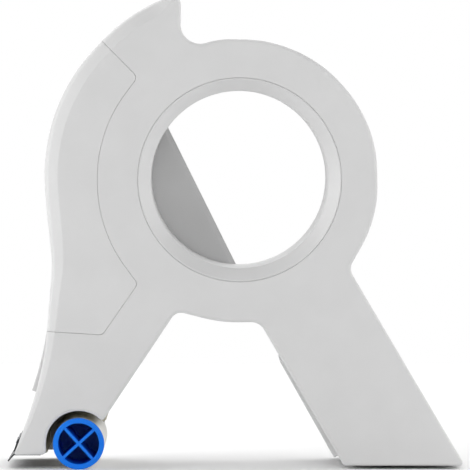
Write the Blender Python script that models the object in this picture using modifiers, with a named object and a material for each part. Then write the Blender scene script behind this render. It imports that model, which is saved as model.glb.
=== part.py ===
"""Masking tape applicator: an R-shaped hand tool that lays tape from a 76 mm roll.

The tool stands on its press roller and the foot of its leg. X runs from the cutting tip to the
leg, Z is up, and the near side faces -Y. Lengths are in metres. Shares of a size end in
"share" or "shares" and are measured from the hub axis unless a comment says otherwise.
"""
import math

import bmesh
import bpy
from mathutils import Matrix, Vector

MM = 0.001
DEG = math.pi / 180.0
FULL_TURN = 2.0 * math.pi

# Whole tool
TOOL_W = 60.0 * MM
HALF_W = TOOL_W / 2
HUB_X = 1.939 * MM
BOWL_R = 57.2 * MM
STAND_H = 61.8 * MM
HUB_Z = BOWL_R + STAND_H
OVERRUN = 4.0 * MM
SAME_PLACE = 0.02 * MM
SHORT_CHORD = 0.25 * MM
WELD = 0.01 * MM
CUTTERS = "cutters"
GAP = 0.3 * MM
ARC_STEP = 7.5 * DEG
FINE_STEP = 4.0 * DEG
SHARP_ANGLE = 60.0 * DEG

# Shells
PLATE_T = 2.8 * MM
FRONT_T = 3.6 * MM
WALL_T = 2.4 * MM
EDGE_R = 1.1 * MM
INNER_EDGE_R = 0.4 * MM
FRONT_R = 5.6 * MM
FRONT_TIP_R = 1.7 * MM
FRONT_FULL_share = -0.40
FRONT_POWER = 1.5
ROUND_SLOPE = 0.45
ROUND_FIT = 0.75
ROUND_RINGS = 3
STRAIGHT_share = 0.2
HORN_R = 3.0 * MM
HORN_ROOT_R = 8.2 * MM
LEG_ROOT_R = 5.7 * MM
TOE_X = 92.6 * MM
HEEL_X = 42.8 * MM
FOOT_Z = 1.5 * MM
TOE_R = 1.2 * MM
HEEL_R = 2.0 * MM
ARCH_LEG_R = 6.2 * MM
ARCH_ARM_R = 4.5 * MM
BOWL_shares = ((-0.150, 1.010), (0.218, 1.003), (0.581, 0.847), (0.847, 0.561),
               (0.981, 0.250), (0.992, -0.146), (0.931, -0.381))
HORN_TIP_share = (-0.426, 1.351)
HORN_ROOT_share = (-0.424, 0.924)
LEG_ROOT_share = (0.784, -0.639)
ARCH_shares = ((-0.070, -1.024), (-0.204, -1.007))
ARCH_LEG_share = (0.142, -1.021)
ARCH_ARM_share = (-0.455, -0.943)
FRONT_shares = ((-1.394, -1.229), (-1.363, -0.806), (-1.345, -0.613), (-1.385, -0.249),
                (-1.412, 0.076), (-1.349, 0.452), (-1.174, 0.801), (-0.814, 1.183))

# Far shell only
HORN_FOOT_share = (-0.426, 1.125)
HORN_FOOT_R = 5.7 * MM
SLANT_TOP_share = (-0.690, 0.708)
SLANT_TOP_R = 24.0 * MM
SLANT_END_share = (0.067, -0.818)
SLANT_END_R = 10.0 * MM
LEG_TOP_share = 0.243
LEG_TOP_R = 8.0 * MM
LUG_BACK = 8.4 * MM
LUG_FRONT = 16.4 * MM
LUG_DROP = 6.84 * MM
LUG_BACK_R = 2.0 * MM
LUG_FRONT_R = 1.0 * MM

# Inner walls of the shells
POCKET_OFF = 1.2 * MM
POCKET_R = BOWL_R + POCKET_OFF
POCKET_T = 2.0 * MM
POCKET_NEAR_ANGLE = 112.0 * DEG
POCKET_FAR_ANGLE = 131.0 * DEG
POCKET_DROP_share = 0.97
MOUTH_IN = 3.2 * MM
MOUTH_OUT = 14.8 * MM
MOUTH_START = 108.0 * DEG
MOUTH_END = -39.0 * DEG
LEG_WALL_IN = 0.2 * MM
LEG_WALL_R = BOWL_R - LEG_WALL_IN
LEG_WALL_START = -63.0 * DEG
LEG_WALL_END = -84.0 * DEG
LEG_LID_shares = (0.44, 0.99)
ARM_MOUTH_W = 12.0 * MM
ARM_MOUTH_shares = (0.10, 1.12)

# Screws that join the shells
BOSS_R = 4.2 * MM
BOSS_shares = ((-0.672, 1.082), (-1.145, 0.494), (-1.217, -0.510), (-1.231, -1.227),
               (0.468, -1.191), (1.149, -1.836))
SHANK_R = 1.5 * MM
SHANK_PLAY = 0.2 * MM
PILOT_PLAY = 0.02 * MM
HEAD_R = 2.6 * MM
HEAD_T = 1.8 * MM
HEAD_SINK = 3.6 * MM
HEAD_PLAY = 0.05 * MM
HEX_SIDES = 6
HEAD_DRIVE_R = 1.2 * MM
HEAD_DRIVE_D = 1.0 * MM
SCREW_BITE = 14.0 * MM

# Nose and roller chamber
ROLLER_share = -1.1573
ROLLER_R = 10.54 * MM
ARCH_GAP = 2.96 * MM
ARCH_R = ROLLER_R + ARCH_GAP
ARCH_END_ANGLE = 50.0 * DEG
ARCH_TAIL = 1.6 * MM
ARM_END_R = 1.2 * MM
HOOD_T = 1.6 * MM
HOOD_START = 41.0 * DEG
HOOD_END = 196.0 * DEG
NECK_share = (-1.329, 1.386)
NOSE_L = 13.0 * MM
NOSE_Z = 6.0 * MM
NOSE_R = 0.6 * MM
NOSE_BACK_R = 1.8 * MM
NOSE_FLOOR_T = 1.5 * MM
NOSE_WALL_T = 2.4 * MM

# Grip cover and its tongue
COVER_T = 1.2 * MM
COVER_GAP = 0.25 * MM
SEAM_CORNER_R = 2.6 * MM
SEAM_shares = ((-1.30, 1.310), (-0.731, 0.735), (-0.731, -0.747), (-0.985, -1.112), (-1.60, -1.075))
SEAM_HALF_SPAN = 38.0 * DEG
TONGUE_W = 38.0 * MM
TONGUE_IN = 1.0 * MM
TONGUE_OUT = 2.0 * MM
TONGUE_TOP_share = -0.98
TONGUE_END = 1.95 * MM

# Strip on the front of the leg
STRIP_W = 50.0 * MM
STRIP_IN = 1.0 * MM
STRIP_TOP = 1.1 * MM
STRIP_FOOT = 1.9 * MM
STRIP_shares = (0.27, 0.935)
STRIP_EDGE_R = 0.5 * MM

# Hub
TUBE_R = 37.9 * MM
TUBE_WALL = 1.3 * MM
TUBE_STEP = 0.1 * MM
BORE_R = TUBE_R - TUBE_WALL - TUBE_STEP
FUNNEL_W = 5.3 * MM
FUNNEL_R = BORE_R + FUNNEL_W
FUNNEL_LIP = 0.5 * MM
FUNNEL_D = 4.4 * MM
FUNNEL_BACK = 0.3 * MM
BEZEL_D = 7.2 * MM
BEZEL_WALL = 1.0 * MM
COLLAR_T = 2.4 * MM
COLLAR_LIP_T = 0.8 * MM
TUBE_GAP = 0.15 * MM
TUBE_FLANGE_T = 1.0 * MM
TUBE_PLAY = 0.1 * MM
TUBE_LEAD = 1.0 * MM
TUBE_FAR_GAP = 0.6 * MM
RIB_H = 0.3 * MM
RIB_W = 1.2 * MM
RIB_COUNT = 6
RIB_START_share = 0.16
RIB_END_share = 0.94
RING_T = 0.8 * MM
RING_CLEAR = 0.7 * MM
RING_IN_R = TUBE_R + RING_CLEAR
RING_GROOVE = 0.5 * MM
RING_PLAY = 0.08 * MM
RING_SLOT = 14.0 * DEG
HUB_STEPS = 60

# Press roller
ROLLER_NEAR_SET = 0.4 * MM
ROLLER_FAR_GAP = 0.6 * MM
RIM_T = 2.1 * MM
RIM_D = 2.0 * MM
SLEEVE_T = 1.1 * MM
SLEEVE_PLAY = 0.03 * MM
WEB_T = 1.15 * MM
WEB_TURN = -2.7 * DEG
WEB_SET = 0.3 * MM
DRUM_WALL_T = 1.1 * MM
ROLLER_HUB_R = 5.4 * MM
ROLLER_HUB_NEAR_share = 0.46
ROLLER_CAP_T = 1.6 * MM
BUSH_R = 3.9 * MM
BUSH_PLAY = 0.02 * MM
BUSH_L = 6.0 * MM
AXLE_R = 2.5 * MM
AXLE_PLAY = 0.05 * MM
AXLE_COLLAR_R = 3.5 * MM
AXLE_COLLAR_T = 1.5 * MM
AXLE_SEAT_D = 0.75 * MM
AXLE_SEAT_R = 5.0 * MM
AXLE_SCREW_R = 1.25 * MM
AXLE_BORE_L = 9.0 * MM
AXLE_BITE_share = 0.8
AXLE_HEAD_R = 3.6 * MM
AXLE_HEAD_T = 0.7 * MM
AXLE_HEAD_SINK = 0.9 * MM
ROLLER_STEPS = 48
SMALL_STEPS = 20

# Blade, clip and nose block
SHEET_T = 0.5 * MM
BLADE_W = 50.0 * MM
BLADE_BACK = 10.7 * MM
BLADE_OUT = 0.2 * MM
TOOTH_OUT = 2.5 * MM
TOOTH_DROP = 3.1 * MM
TOOTH_PITCH = 1.25 * MM
TOOTH_H = 1.1 * MM
BLADE_SEAT = 0.05 * MM
CLIP_W = 48.0 * MM
CLIP_OFF = 0.35 * MM
CLIP_LOW = 0.8 * MM
CLIP_HIGH = 6.2 * MM
CLIP_PIN = 4.6 * MM
PIN_R = 0.9 * MM
PIN_HEAD_R = 1.5 * MM
PIN_HEAD_T = 0.4 * MM
PIN_DRIVE_R = 0.6 * MM
PIN_DRIVE_D = 0.25 * MM
PIN_L = 5.0 * MM
PIN_PLAY = 0.05 * MM
PIN_BORE_MORE = 0.2 * MM
BLADE_PIN_share = 0.72
CLIP_PIN_share = 0.44
PIN_BLADE_share = 0.37
BLOCK_H = 12.25 * MM
BLOCK_GAP = 0.25 * MM

# Colours, roughness and metallic value, as read from the photograph
GREY = ("#D2D2D1", 0.42, 0.0)
GREY_COVER = ("#D3D3D2", 0.45, 0.0)
BLUE = ("#0B78E6", 0.35, 0.0)
DARK = ("#4A4840", 0.55, 0.0)
RUBBER = ("#E4E2DC", 0.75, 0.0)
STEEL = ("#8C8E90", 0.30, 1.0)
BLADE_STEEL = ("#6E7072", 0.28, 1.0)
ACETAL = ("#E9E8E2", 0.40, 0.0)


def linear(channel):
    """Turn one sRGB channel in 0..1 into its linear value."""
    if channel <= 0.04045:
        return channel / 12.92
    return ((channel + 0.055) / 1.055) ** 2.4


def material(name, look):
    """Return a Principled material with the colour, roughness and metallic value of a look."""
    code, roughness, metallic = look
    rgb = [linear(int(code[i:i + 2], 16) / 255.0) for i in (1, 3, 5)]
    mat = bpy.data.materials.new(name)
    mat.use_nodes = True
    shader = mat.node_tree.nodes["Principled BSDF"]
    shader.inputs["Base Color"].default_value = (*rgb, 1.0)
    shader.inputs["Roughness"].default_value = roughness
    shader.inputs["Metallic"].default_value = metallic
    return mat


def hub_point(share):
    """Return the X and Z of a place given in shares of the bowl radius from the hub axis."""
    return HUB_X + share[0] * BOWL_R, HUB_Z + share[1] * BOWL_R


def corner(share, radius=None):
    """Return an outline corner; with no radius it is as round as its sides allow."""
    x, z = hub_point(share)
    return x, z, radius


def roller_axis():
    """Return the X and Z of the press roller's axis, which stands the roller on the plane."""
    return HUB_X + ROLLER_share * BOWL_R, ROLLER_R


def nose_x():
    """Return the X of the cutting tip's lower corner, in front of the roller arch."""
    return roller_axis()[0] - ARCH_R - NOSE_L


def neck():
    """Return the place on the front edge where the nose meets the arm, above the roller arch."""
    x, z = roller_axis()
    return x + NECK_share[0] * ARCH_R, z + NECK_share[1] * ARCH_R


def polar(centre, radius, angle):
    """Return the point at a radius and angle round a centre in the XZ plane."""
    return centre[0] + radius * math.cos(angle), centre[1] + radius * math.sin(angle)


def arc_points(centre, radius, start, end, step=ARC_STEP):
    """Return points along an arc, both ends included."""
    count = max(2, math.ceil(abs(end - start) / step) + 1)
    return [polar(centre, radius, start + (end - start) * i / (count - 1)) for i in range(count)]


def ring_points(centre, radius, steps):
    """Return points evenly spaced round a centre."""
    return [polar(centre, radius, FULL_TURN * i / steps) for i in range(steps)]


def tangent_corner(centre, radius, start, end):
    """Return the corner whose fillet is the arc from start to end."""
    half = (end - start) / 2
    x, z = polar(centre, radius / math.cos(half), start + half)
    return x, z, radius


def sides(corners):
    """Return the unit direction and length of the side that leaves each corner."""
    found = []
    for here, ahead in zip(corners, corners[1:] + corners[:1]):
        step = Vector((ahead[0] - here[0], ahead[1] - here[1]))
        found.append((step.normalized(), step.length))
    return found


def turn_at(before, after):
    """Return the signed angle from one direction to the next, positive to the left."""
    cross = before.x * after.y - before.y * after.x
    return math.atan2(cross, before.dot(after))


def fillet_reach(corners, turns, lengths):
    """Return how far each fillet reaches along its sides; an open one takes what its sides leave."""
    count = len(corners)
    fixed = [None if c[2] is None else c[2] * abs(math.tan(t / 2)) for c, t in zip(corners, turns)]
    found = []
    for i in range(count):
        if fixed[i] is not None:
            found.append(fixed[i])
            continue
        room = []
        for length, other in ((lengths[i - 1], fixed[i - 1]), (lengths[i], fixed[(i + 1) % count])):
            room.append(length / 2 if other is None else length - other)
        found.append(min(room))
    return found


def rounded(corners, step=ARC_STEP):
    """Return outline points with a fillet at each corner.

    Each point comes as its place, its bend, the way into the outline and its corner's number. The
    outline runs clockwise, so an outward corner turns to the right and its bend is positive.
    """
    side = sides(corners)
    turns = [turn_at(side[i - 1][0], side[i][0]) for i in range(len(corners))]
    reach = fillet_reach(corners, turns, [length for _, length in side])
    found = []
    for i, turn in enumerate(turns):
        radius = reach[i] / abs(math.tan(turn / 2))
        way = side[i - 1][0]
        start = Vector(corners[i][:2]) - way * reach[i]
        centre = start + Vector((-way.y, way.x)) * math.copysign(radius, turn)
        bend = math.copysign(radius, -turn)
        pieces = min(math.ceil(abs(turn) / step), round(abs(turn) * radius / SHORT_CHORD))
        pieces = max(pieces, 2)
        for k in range(pieces + 1):
            spoke = Matrix.Rotation(turn * k / pieces, 2) @ (start - centre)
            place = centre + spoke
            if not found or math.dist(place, found[-1][0]) > SAME_PLACE:
                found.append((tuple(place), bend, -spoke / bend, i))
    if math.dist(found[0][0], found[-1][0]) < SAME_PLACE:
        found.pop()
    return found


def outline(corners, step=ARC_STEP):
    """Return only the places of a rounded outline."""
    return [point[0] for point in rounded(corners, step)]


def inset(corners, depths):
    """Move each side of a clockwise outline inwards by its own depth and keep the fillets concentric.

    Where two sides run nearly straight on, the first one keeps its depth up to their corner.
    """
    side = sides(corners)
    lines = []
    for here, (way, _), depth in zip(corners, side, depths):
        inward = Vector((way.y, -way.x))
        lines.append((Vector(here[:2]) + inward * depth, way))
    moved = []
    for i, here in enumerate(corners):
        (p, a), (q, b) = lines[i - 1], lines[i]
        cross = a.x * b.y - a.y * b.x
        if abs(cross) < STRAIGHT_share:
            inward = Vector((a.y + b.y, -a.x - b.x)) / (1 + a.dot(b))
            place = Vector(here[:2]) + inward * depths[i - 1]
        else:
            place = p + a * (((q - p).x * b.y - (q - p).y * b.x) / cross)
        radius = here[2]
        if radius is not None:
            radius = max(radius + math.copysign(depths[i], cross), INNER_EDGE_R)
        moved.append((place.x, place.y, radius))
    return moved


def front_corners():
    """Return the corners of the front edge, from the cutting tip up to the horn."""
    low = (nose_x(), NOSE_Z, NOSE_R)
    return [low, (*neck(), None), *[corner(s) for s in FRONT_shares], corner(HORN_TIP_share, HORN_R)]


def leg_and_arch_corners():
    """Return the corners shared by both shells, from the toe round to the top of the arm."""
    return [(HUB_X + TOE_X, FOOT_Z, TOE_R),
            (HUB_X + HEEL_X, FOOT_Z, HEEL_R),
            corner(ARCH_LEG_share, ARCH_LEG_R),
            *[corner(s) for s in ARCH_shares],
            corner(ARCH_ARM_share, ARCH_ARM_R)]


def arm_end():
    """Return the arm's lower corner, on the line that leaves the roller arch."""
    x, z = polar(roller_axis(), ARCH_R, ARCH_END_ANGLE)
    return x + ARCH_TAIL * math.sin(ARCH_END_ANGLE), z - ARCH_TAIL * math.cos(ARCH_END_ANGLE)


def roller_arch():
    """Return the corners from the arm's end round the roller arch to the back of the nose."""
    axis = roller_axis()
    half = (math.pi + ARCH_END_ANGLE) / 2
    return [(*arm_end(), ARM_END_R),
            tangent_corner(axis, ARCH_R, ARCH_END_ANGLE, half),
            tangent_corner(axis, ARCH_R, half, math.pi),
            (axis[0] - ARCH_R, NOSE_Z, NOSE_BACK_R)]


def near_corners():
    """Return the near shell's outline, clockwise, with its front corners last."""
    return [corner(HORN_ROOT_share, HORN_ROOT_R),
            *[corner(s) for s in BOWL_shares],
            corner(LEG_ROOT_share, LEG_ROOT_R),
            *leg_and_arch_corners(),
            *roller_arch(),
            *front_corners()]


def grip_corners():
    """Return the outline of a block whose front edge is the tool's, for the cover over the grip."""
    return [(HUB_X, hub_point(HORN_TIP_share)[1], EDGE_R), (HUB_X, NOSE_Z, EDGE_R), *front_corners()]


def far_top_corners():
    """Return the far shell's corners from the horn down its slanted edge and leg to the arm."""
    leg = leg_and_arch_corners()
    return [corner(HORN_FOOT_share, HORN_FOOT_R),
            corner(SLANT_TOP_share, SLANT_TOP_R),
            corner(SLANT_END_share, SLANT_END_R),
            (*between(corner(LEG_ROOT_share), leg[0], LEG_TOP_share), LEG_TOP_R),
            *leg]


def far_corners():
    """Return the far shell's outline with the lug that carries the roller, front corners last."""
    x, z = roller_axis()
    return [*far_top_corners(),
            (*arm_end(), ARM_END_R),
            (x + LUG_BACK, z - LUG_DROP, LUG_BACK_R),
            (x - LUG_FRONT, z - LUG_DROP, LUG_FRONT_R),
            (x - LUG_FRONT, NOSE_Z, LUG_FRONT_R),
            *front_corners()]


def front_wish(z):
    """Return the front edge's rounding at a height: full at the grip, small at the cutting tip."""
    top = HUB_Z + FRONT_FULL_share * BOWL_R
    share = min(max((z - NOSE_Z) / (top - NOSE_Z), 0.0), 1.0)
    return FRONT_TIP_R + (FRONT_R - FRONT_TIP_R) * share ** FRONT_POWER


def edge_radii(found, front_from, skin):
    """Return each point's edge rounding, kept inside tight corners and free of sudden steps."""
    caps = []
    for place, bend, _, number in found:
        wish = front_wish(place[1]) if number >= front_from else EDGE_R
        wish = max(wish - skin, INNER_EDGE_R)
        caps.append(min(wish, ROUND_FIT * bend) if bend > 0 else wish)
    points = [point[0] for point in found]
    run = [0.0]
    for a, b in zip(points, points[1:] + points[:1]):
        run.append(run[-1] + math.dist(a, b))
    total = run.pop()
    radii = []
    for here in run:
        away = (min(abs(here - there), total - abs(here - there)) for there in run)
        radii.append(min(cap + ROUND_SLOPE * far for cap, far in zip(caps, away)))
    return radii


def mesh_object(name, bm, group):
    """Turn a bmesh into an object in a collection, with its faces turned outwards."""
    bmesh.ops.recalc_face_normals(bm, faces=bm.faces)
    mesh = bpy.data.meshes.new(name)
    bm.to_mesh(mesh)
    bm.free()
    made = bpy.data.objects.new(name, mesh)
    group.objects.link(made)
    if group.name == CUTTERS:
        made.hide_render = True
        made.display_type = "WIRE"
    return made


def loft(name, rings, group):
    """Join rings of equal point count into one closed solid; the end rings are capped."""
    bm = bmesh.new()
    rows = [[bm.verts.new(p) for p in ring] for ring in rings]
    for low, high in zip(rows, rows[1:]):
        for i in range(len(low)):
            bm.faces.new((low[i - 1], low[i], high[i], high[i - 1]))
    bm.faces.new(rows[0])
    bm.faces.new(rows[-1][::-1])
    return mesh_object(name, bm, group)


def prism(name, points, y_low, y_high, group):
    """Extrude an XZ outline from one Y to another."""
    bm = bmesh.new()
    face = bm.faces.new([bm.verts.new((x, y_low, z)) for x, z in points])
    grown = bmesh.ops.extrude_face_region(bm, geom=[face])
    moved = [v for v in grown["geom"] if isinstance(v, bmesh.types.BMVert)]
    bmesh.ops.translate(bm, vec=(0.0, y_high - y_low, 0.0), verts=moved)
    return mesh_object(name, bm, group)


def rounded_body(name, corners, front_count, y_faces, group, skin=0.0):
    """Loft a plate-like body whose outer edges are rounded by the amounts in edge_radii.

    y_faces holds the rounded face first and the flat end, or a second rounded face, last. A skin
    is the depth already taken off the tool's outside, so the rounding shrinks by as much.
    """
    found = rounded(corners)
    radii = edge_radii(found, len(corners) - front_count, skin)
    y_face, y_end = y_faces
    side = math.copysign(1.0, y_end - y_face)
    both = abs(y_end - y_face) > HALF_W
    rings = []
    for k in range(ROUND_RINGS + 1):
        bend = math.pi / 2 * k / ROUND_RINGS
        rings.append([(p[0] + n.x * r * (1 - math.sin(bend)),
                       y_face + side * r * (1 - math.cos(bend)),
                       p[1] + n.y * r * (1 - math.sin(bend)))
                      for (p, _, n, _), r in zip(found, radii)])
    if both:
        mirror = y_face + y_end
        rings += [[(x, mirror - y, z) for x, y, z in ring] for ring in reversed(rings)]
    else:
        rings.append([(point[0][0], y_end, point[0][1]) for point in found])
    return loft(name, rings, group)


def turned(name, profile, axis, group, steps):
    """Spin a profile of radius and height with a Screw modifier; its height points to -Y."""
    mesh = bpy.data.meshes.new(name)
    closed = profile[0][0] > 0
    edges = [(i, i + 1) for i in range(len(profile) - 1)]
    if closed:
        edges.append((len(profile) - 1, 0))
    mesh.from_pydata([(r, 0.0, h) for r, h in profile], edges, [])
    made = bpy.data.objects.new(name, mesh)
    made.location = (axis[0], 0.0, axis[1])
    made.rotation_euler = (math.pi / 2, 0.0, 0.0)
    group.objects.link(made)
    spin = made.modifiers.new("Spin", "SCREW")
    spin.axis = "Z"
    spin.angle = FULL_TURN
    spin.steps = steps
    spin.render_steps = steps
    spin.use_merge_vertices = True
    spin.merge_threshold = WELD
    if group.name == CUTTERS:
        made.hide_render = True
        made.display_type = "WIRE"
    return made


def rod(name, axis, radius, y_low, y_high, group, steps=SMALL_STEPS):
    """Make a plain bar along Y between two places; it has as many sides as it has steps."""
    return prism(name, ring_points(axis, radius, steps), y_low, y_high, group)


def stepped_bar(name, axis, profile, group, steps=SMALL_STEPS):
    """Make a bar along Y whose radius steps from place to place; the profile holds radius and Y."""
    rings = [[(x, y, z) for x, z in ring_points(axis, radius, steps)] for radius, y in profile]
    return loft(name, rings, group)


def combine(target, other, operation):
    """Add a live Boolean modifier that uses the exact solver."""
    made = target.modifiers.new(other.name, "BOOLEAN")
    made.solver = "EXACT"
    made.operation = operation
    made.object = other


def cut(target, *others):
    """Take bodies away from a target."""
    for other in others:
        combine(target, other, "DIFFERENCE")


def join(target, *others):
    """Add bodies to a target."""
    for other in others:
        combine(target, other, "UNION")


def soften(target, width, angle):
    """Bevel a target's sharp edges, as a mould or a press leaves them."""
    made = target.modifiers.new("Edge", "BEVEL")
    made.width = width
    made.segments = 2
    made.limit_method = "ANGLE"
    made.angle_limit = angle


def sector(centre, radii, start, end):
    """Return the outline of a ring's sector between two radii and two angles."""
    inner = arc_points(centre, radii[0], start, end)
    outer = arc_points(centre, radii[1], end, start)
    return inner + outer


def between(point, other, share):
    """Return the place at a share of the way from one point to another."""
    return Vector(point[:2]).lerp(Vector(other[:2]), share)


def band(start, end, shares, reach_left, reach_right):
    """Return a four-sided outline along a line, with its reach to the left and right of it."""
    way = (Vector(end[:2]) - Vector(start[:2])).normalized()
    left = Vector((-way.y, way.x))
    low = between(start, end, shares[0])
    high = between(start, end, shares[1])
    corners = (low + left * reach_left[0], high + left * reach_left[1],
               high - left * reach_right, low - left * reach_right)
    return [tuple(c) for c in corners]


# Shells

def wall_depths(corners):
    """Return each side's wall, from the horn round the roller arch and nose to the horn again."""
    arch = [WALL_T + HOOD_T + GAP] * (len(roller_arch()) - 1)
    front = [FRONT_T] * (len(front_corners()) - 2)
    plain = [WALL_T] * (len(corners) - len(roller_arch()) - len(front_corners()))
    return plain + arch + [NOSE_FLOOR_T, NOSE_WALL_T] + front + [WALL_T]


def pocket_outline(start):
    """Return the inner wall that follows the roll and then drops straight beside the tape."""
    centre = (HUB_X, HUB_Z)
    inner = arc_points(centre, POCKET_R, start, math.pi)
    outer = arc_points(centre, POCKET_R + POCKET_T, math.pi, start)
    axis = roller_axis()
    foot = axis[1] + (ARCH_R + HOOD_T + GAP) * POCKET_DROP_share
    return inner + [(HUB_X - POCKET_R, foot), (HUB_X - POCKET_R - POCKET_T, foot)] + outer


def shell_cutters(tag, corners, side):
    """Return the hollows of a shell; side is -1 for the near shell and 1 for the far one."""
    centre = (HUB_X, HUB_Z)
    floor = side * (HALF_W - PLATE_T)
    beyond = -side * OVERRUN
    inner = outline(inset(corners, wall_depths(corners)))
    hollow = prism(tag + "_hollow", inner, floor, beyond, cutters)
    ring = (BOWL_R - MOUTH_IN, BOWL_R + MOUTH_OUT)
    mouth = prism(tag + "_mouth", sector(centre, ring, MOUTH_START, MOUTH_END), floor, beyond, cutters)
    axis = roller_axis()
    arm = band(corner(ARCH_ARM_share), arm_end(), ARM_MOUTH_shares,
               (ARM_MOUTH_W / 2, ARM_MOUTH_W / 2), ARM_MOUTH_W / 2)
    arm_mouth = prism(tag + "_arm_mouth", arm, floor, beyond, cutters)
    chamber = rod(tag + "_chamber", axis, ARCH_R + HOOD_T + GAP, floor, beyond, cutters, ROLLER_STEPS)
    return hollow, mouth, arm_mouth, chamber


def shell_walls(tag, side, pocket_start):
    """Return the inner walls and screw bosses that both shells share."""
    floor = side * (HALF_W - PLATE_T / 2)
    split = side * GAP / 2
    centre = (HUB_X, HUB_Z)
    walls = [prism(tag + "_pocket_wall", pocket_outline(pocket_start), floor, split, cutters)]
    leg = sector(centre, (LEG_WALL_R, LEG_WALL_R + POCKET_T), LEG_WALL_START, LEG_WALL_END)
    walls.append(prism(tag + "_leg_wall", leg, floor, split, cutters))
    for i, share in enumerate(BOSS_shares):
        walls.append(rod(f"{tag}_boss_{i + 1}", hub_point(share), BOSS_R, floor, split, cutters))
    return walls


def cover_seats():
    """Return the recesses that the grip cover, its tongue and the leg strip lie in."""
    room = seam_prism("cover_room", COVER_GAP)
    corners = grip_corners()
    depths = [COVER_T + COVER_GAP] * len(corners)
    core = rounded_body("cover_core", inset(corners, depths), len(front_corners()),
                        (-HALF_W + depths[0], HALF_W - depths[0]), cutters, skin=depths[0])
    cut(room, core)
    channel = prism("tongue_channel", tongue_outline(COVER_GAP), -TONGUE_W / 2 - COVER_GAP,
                    TONGUE_W / 2 + COVER_GAP, cutters)
    slot = prism("strip_slot", strip_outline(COVER_GAP), -STRIP_W / 2 - COVER_GAP,
                 STRIP_W / 2 + COVER_GAP, cutters)
    return room, channel, slot


def make_near_shell(seats, nose_holes):
    """Make the near shell: the full R with its front wall, leg box and round hub seat."""
    corners = near_corners()
    shell = rounded_body("near_shell", corners, len(front_corners()), (-HALF_W, -GAP / 2), parts)
    cut(shell, *shell_cutters("near", corners, -1))
    join(shell, *shell_walls("near", -1, POCKET_NEAR_ANGLE))
    slant_end, leg_top = far_top_corners()[2:4]
    join(shell, prism("near_leg_lid", band(slant_end, leg_top, LEG_LID_shares, (0.0, 0.0), WALL_T),
                      -HALF_W + PLATE_T / 2, -GAP / 2, cutters))
    centre = (HUB_X, HUB_Z)
    seat_r = FUNNEL_R + GAP
    lip = -HALF_W + BEZEL_D + GAP
    join(shell, rod("near_collar", centre, seat_r + COLLAR_T, -HALF_W + PLATE_T / 2,
                    lip + COLLAR_LIP_T, cutters, HUB_STEPS))
    cut(shell, rod("near_hub_seat", centre, seat_r, -HALF_W - OVERRUN, lip, cutters, HUB_STEPS),
        rod("near_hub_hole", centre, FUNNEL_R - BEZEL_WALL + GAP, -HALF_W - OVERRUN, OVERRUN,
            cutters, HUB_STEPS))
    for i, share in enumerate(BOSS_shares):
        hole = rod(f"near_pilot_{i + 1}", hub_point(share), SHANK_R + PILOT_PLAY,
                   -SCREW_BITE - GAP, OVERRUN, cutters)
        cut(shell, hole)
    cut(shell, *seats, *nose_holes)
    shell.data.materials.append(material("near_shell", GREY))
    return shell


def make_far_shell(seats, nose_holes):
    """Make the far shell: the cheek with the slanted edge, the leg and the roller's lug."""
    shell = rounded_body("far_shell", far_corners(), len(front_corners()), (HALF_W, GAP / 2), parts)
    hollowed = [*far_top_corners(), *roller_arch(), *front_corners()]
    cut(shell, *shell_cutters("far", hollowed, 1))
    centre = (HUB_X, HUB_Z)
    axis = roller_axis()
    face = HALF_W - PLATE_T
    x_low = axis[0] - LUG_FRONT - OVERRUN
    under = [(x_low, NOSE_Z), (axis[0], NOSE_Z), (axis[0], -OVERRUN), (x_low, -OVERRUN)]
    cut(shell, rod("far_roll_room", centre, LEG_WALL_R, face, -OVERRUN, cutters, HUB_STEPS),
        prism("far_nose_room", under, -OVERRUN, face, cutters))
    join(shell, *shell_walls("far", 1, POCKET_FAR_ANGLE))
    sink = HALF_W - AXLE_HEAD_SINK
    cut(shell, stepped_bar("far_axle_hole", axis, (
        (AXLE_SEAT_R + PIN_PLAY, 0.0), (AXLE_SEAT_R + PIN_PLAY, face + AXLE_SEAT_D),
        (AXLE_SCREW_R + SHANK_PLAY, face + AXLE_SEAT_D), (AXLE_SCREW_R + SHANK_PLAY, sink),
        (AXLE_HEAD_R + GAP, sink), (AXLE_HEAD_R + GAP, HALF_W + OVERRUN)), cutters))
    for i, share in enumerate(BOSS_shares):
        cut(shell, stepped_bar(f"far_hole_{i + 1}", hub_point(share), (
            (SHANK_R + SHANK_PLAY, -OVERRUN), (SHANK_R + SHANK_PLAY, HALF_W - HEAD_SINK),
            (HEAD_R + GAP, HALF_W - HEAD_SINK), (HEAD_R + GAP, HALF_W + OVERRUN)), cutters))
    cut(shell, *seats, *nose_holes)
    shell.data.materials.append(material("far_shell", GREY))
    return shell


# Grip cover, tongue and leg strip

def seam_outline(gap):
    """Return the cover's outline: two slanted ends and an arc over the pocket wall between them."""
    top, high, low, foot, front = [hub_point(s) for s in SEAM_shares]
    centre = (HUB_X, HUB_Z)
    bulge = [tangent_corner(centre, POCKET_R, math.pi - SEAM_HALF_SPAN, math.pi),
             tangent_corner(centre, POCKET_R, math.pi, math.pi + SEAM_HALF_SPAN)]
    corners = [(*top, SEAM_CORNER_R), (*high, SEAM_CORNER_R), *bulge, (*low, SEAM_CORNER_R),
               (*foot, SEAM_CORNER_R), (*front, SEAM_CORNER_R)]
    return outline(inset(corners, [-gap] * len(corners)))


def seam_prism(name, gap):
    """Return the block that bounds the cover seen from the side, grown by a gap."""
    reach = HALF_W + OVERRUN
    return prism(name, seam_outline(gap), -reach, reach, cutters)


def front_run(z_low, z_high):
    """Return the front edge's points between two heights, from low to high, ends included."""
    left = [p for p in outline(near_corners(), FINE_STEP) if p[0] < HUB_X - POCKET_R]
    left.sort(key=lambda p: p[1])
    run = [p for p in left if z_low < p[1] < z_high]
    for z in (z_low, z_high):
        for a, b in zip(left, left[1:]):
            if a[1] <= z < b[1]:
                run.append(tuple(between(a, b, (z - a[1]) / (b[1] - a[1]))))
    return sorted(run, key=lambda p: p[1])


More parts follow.
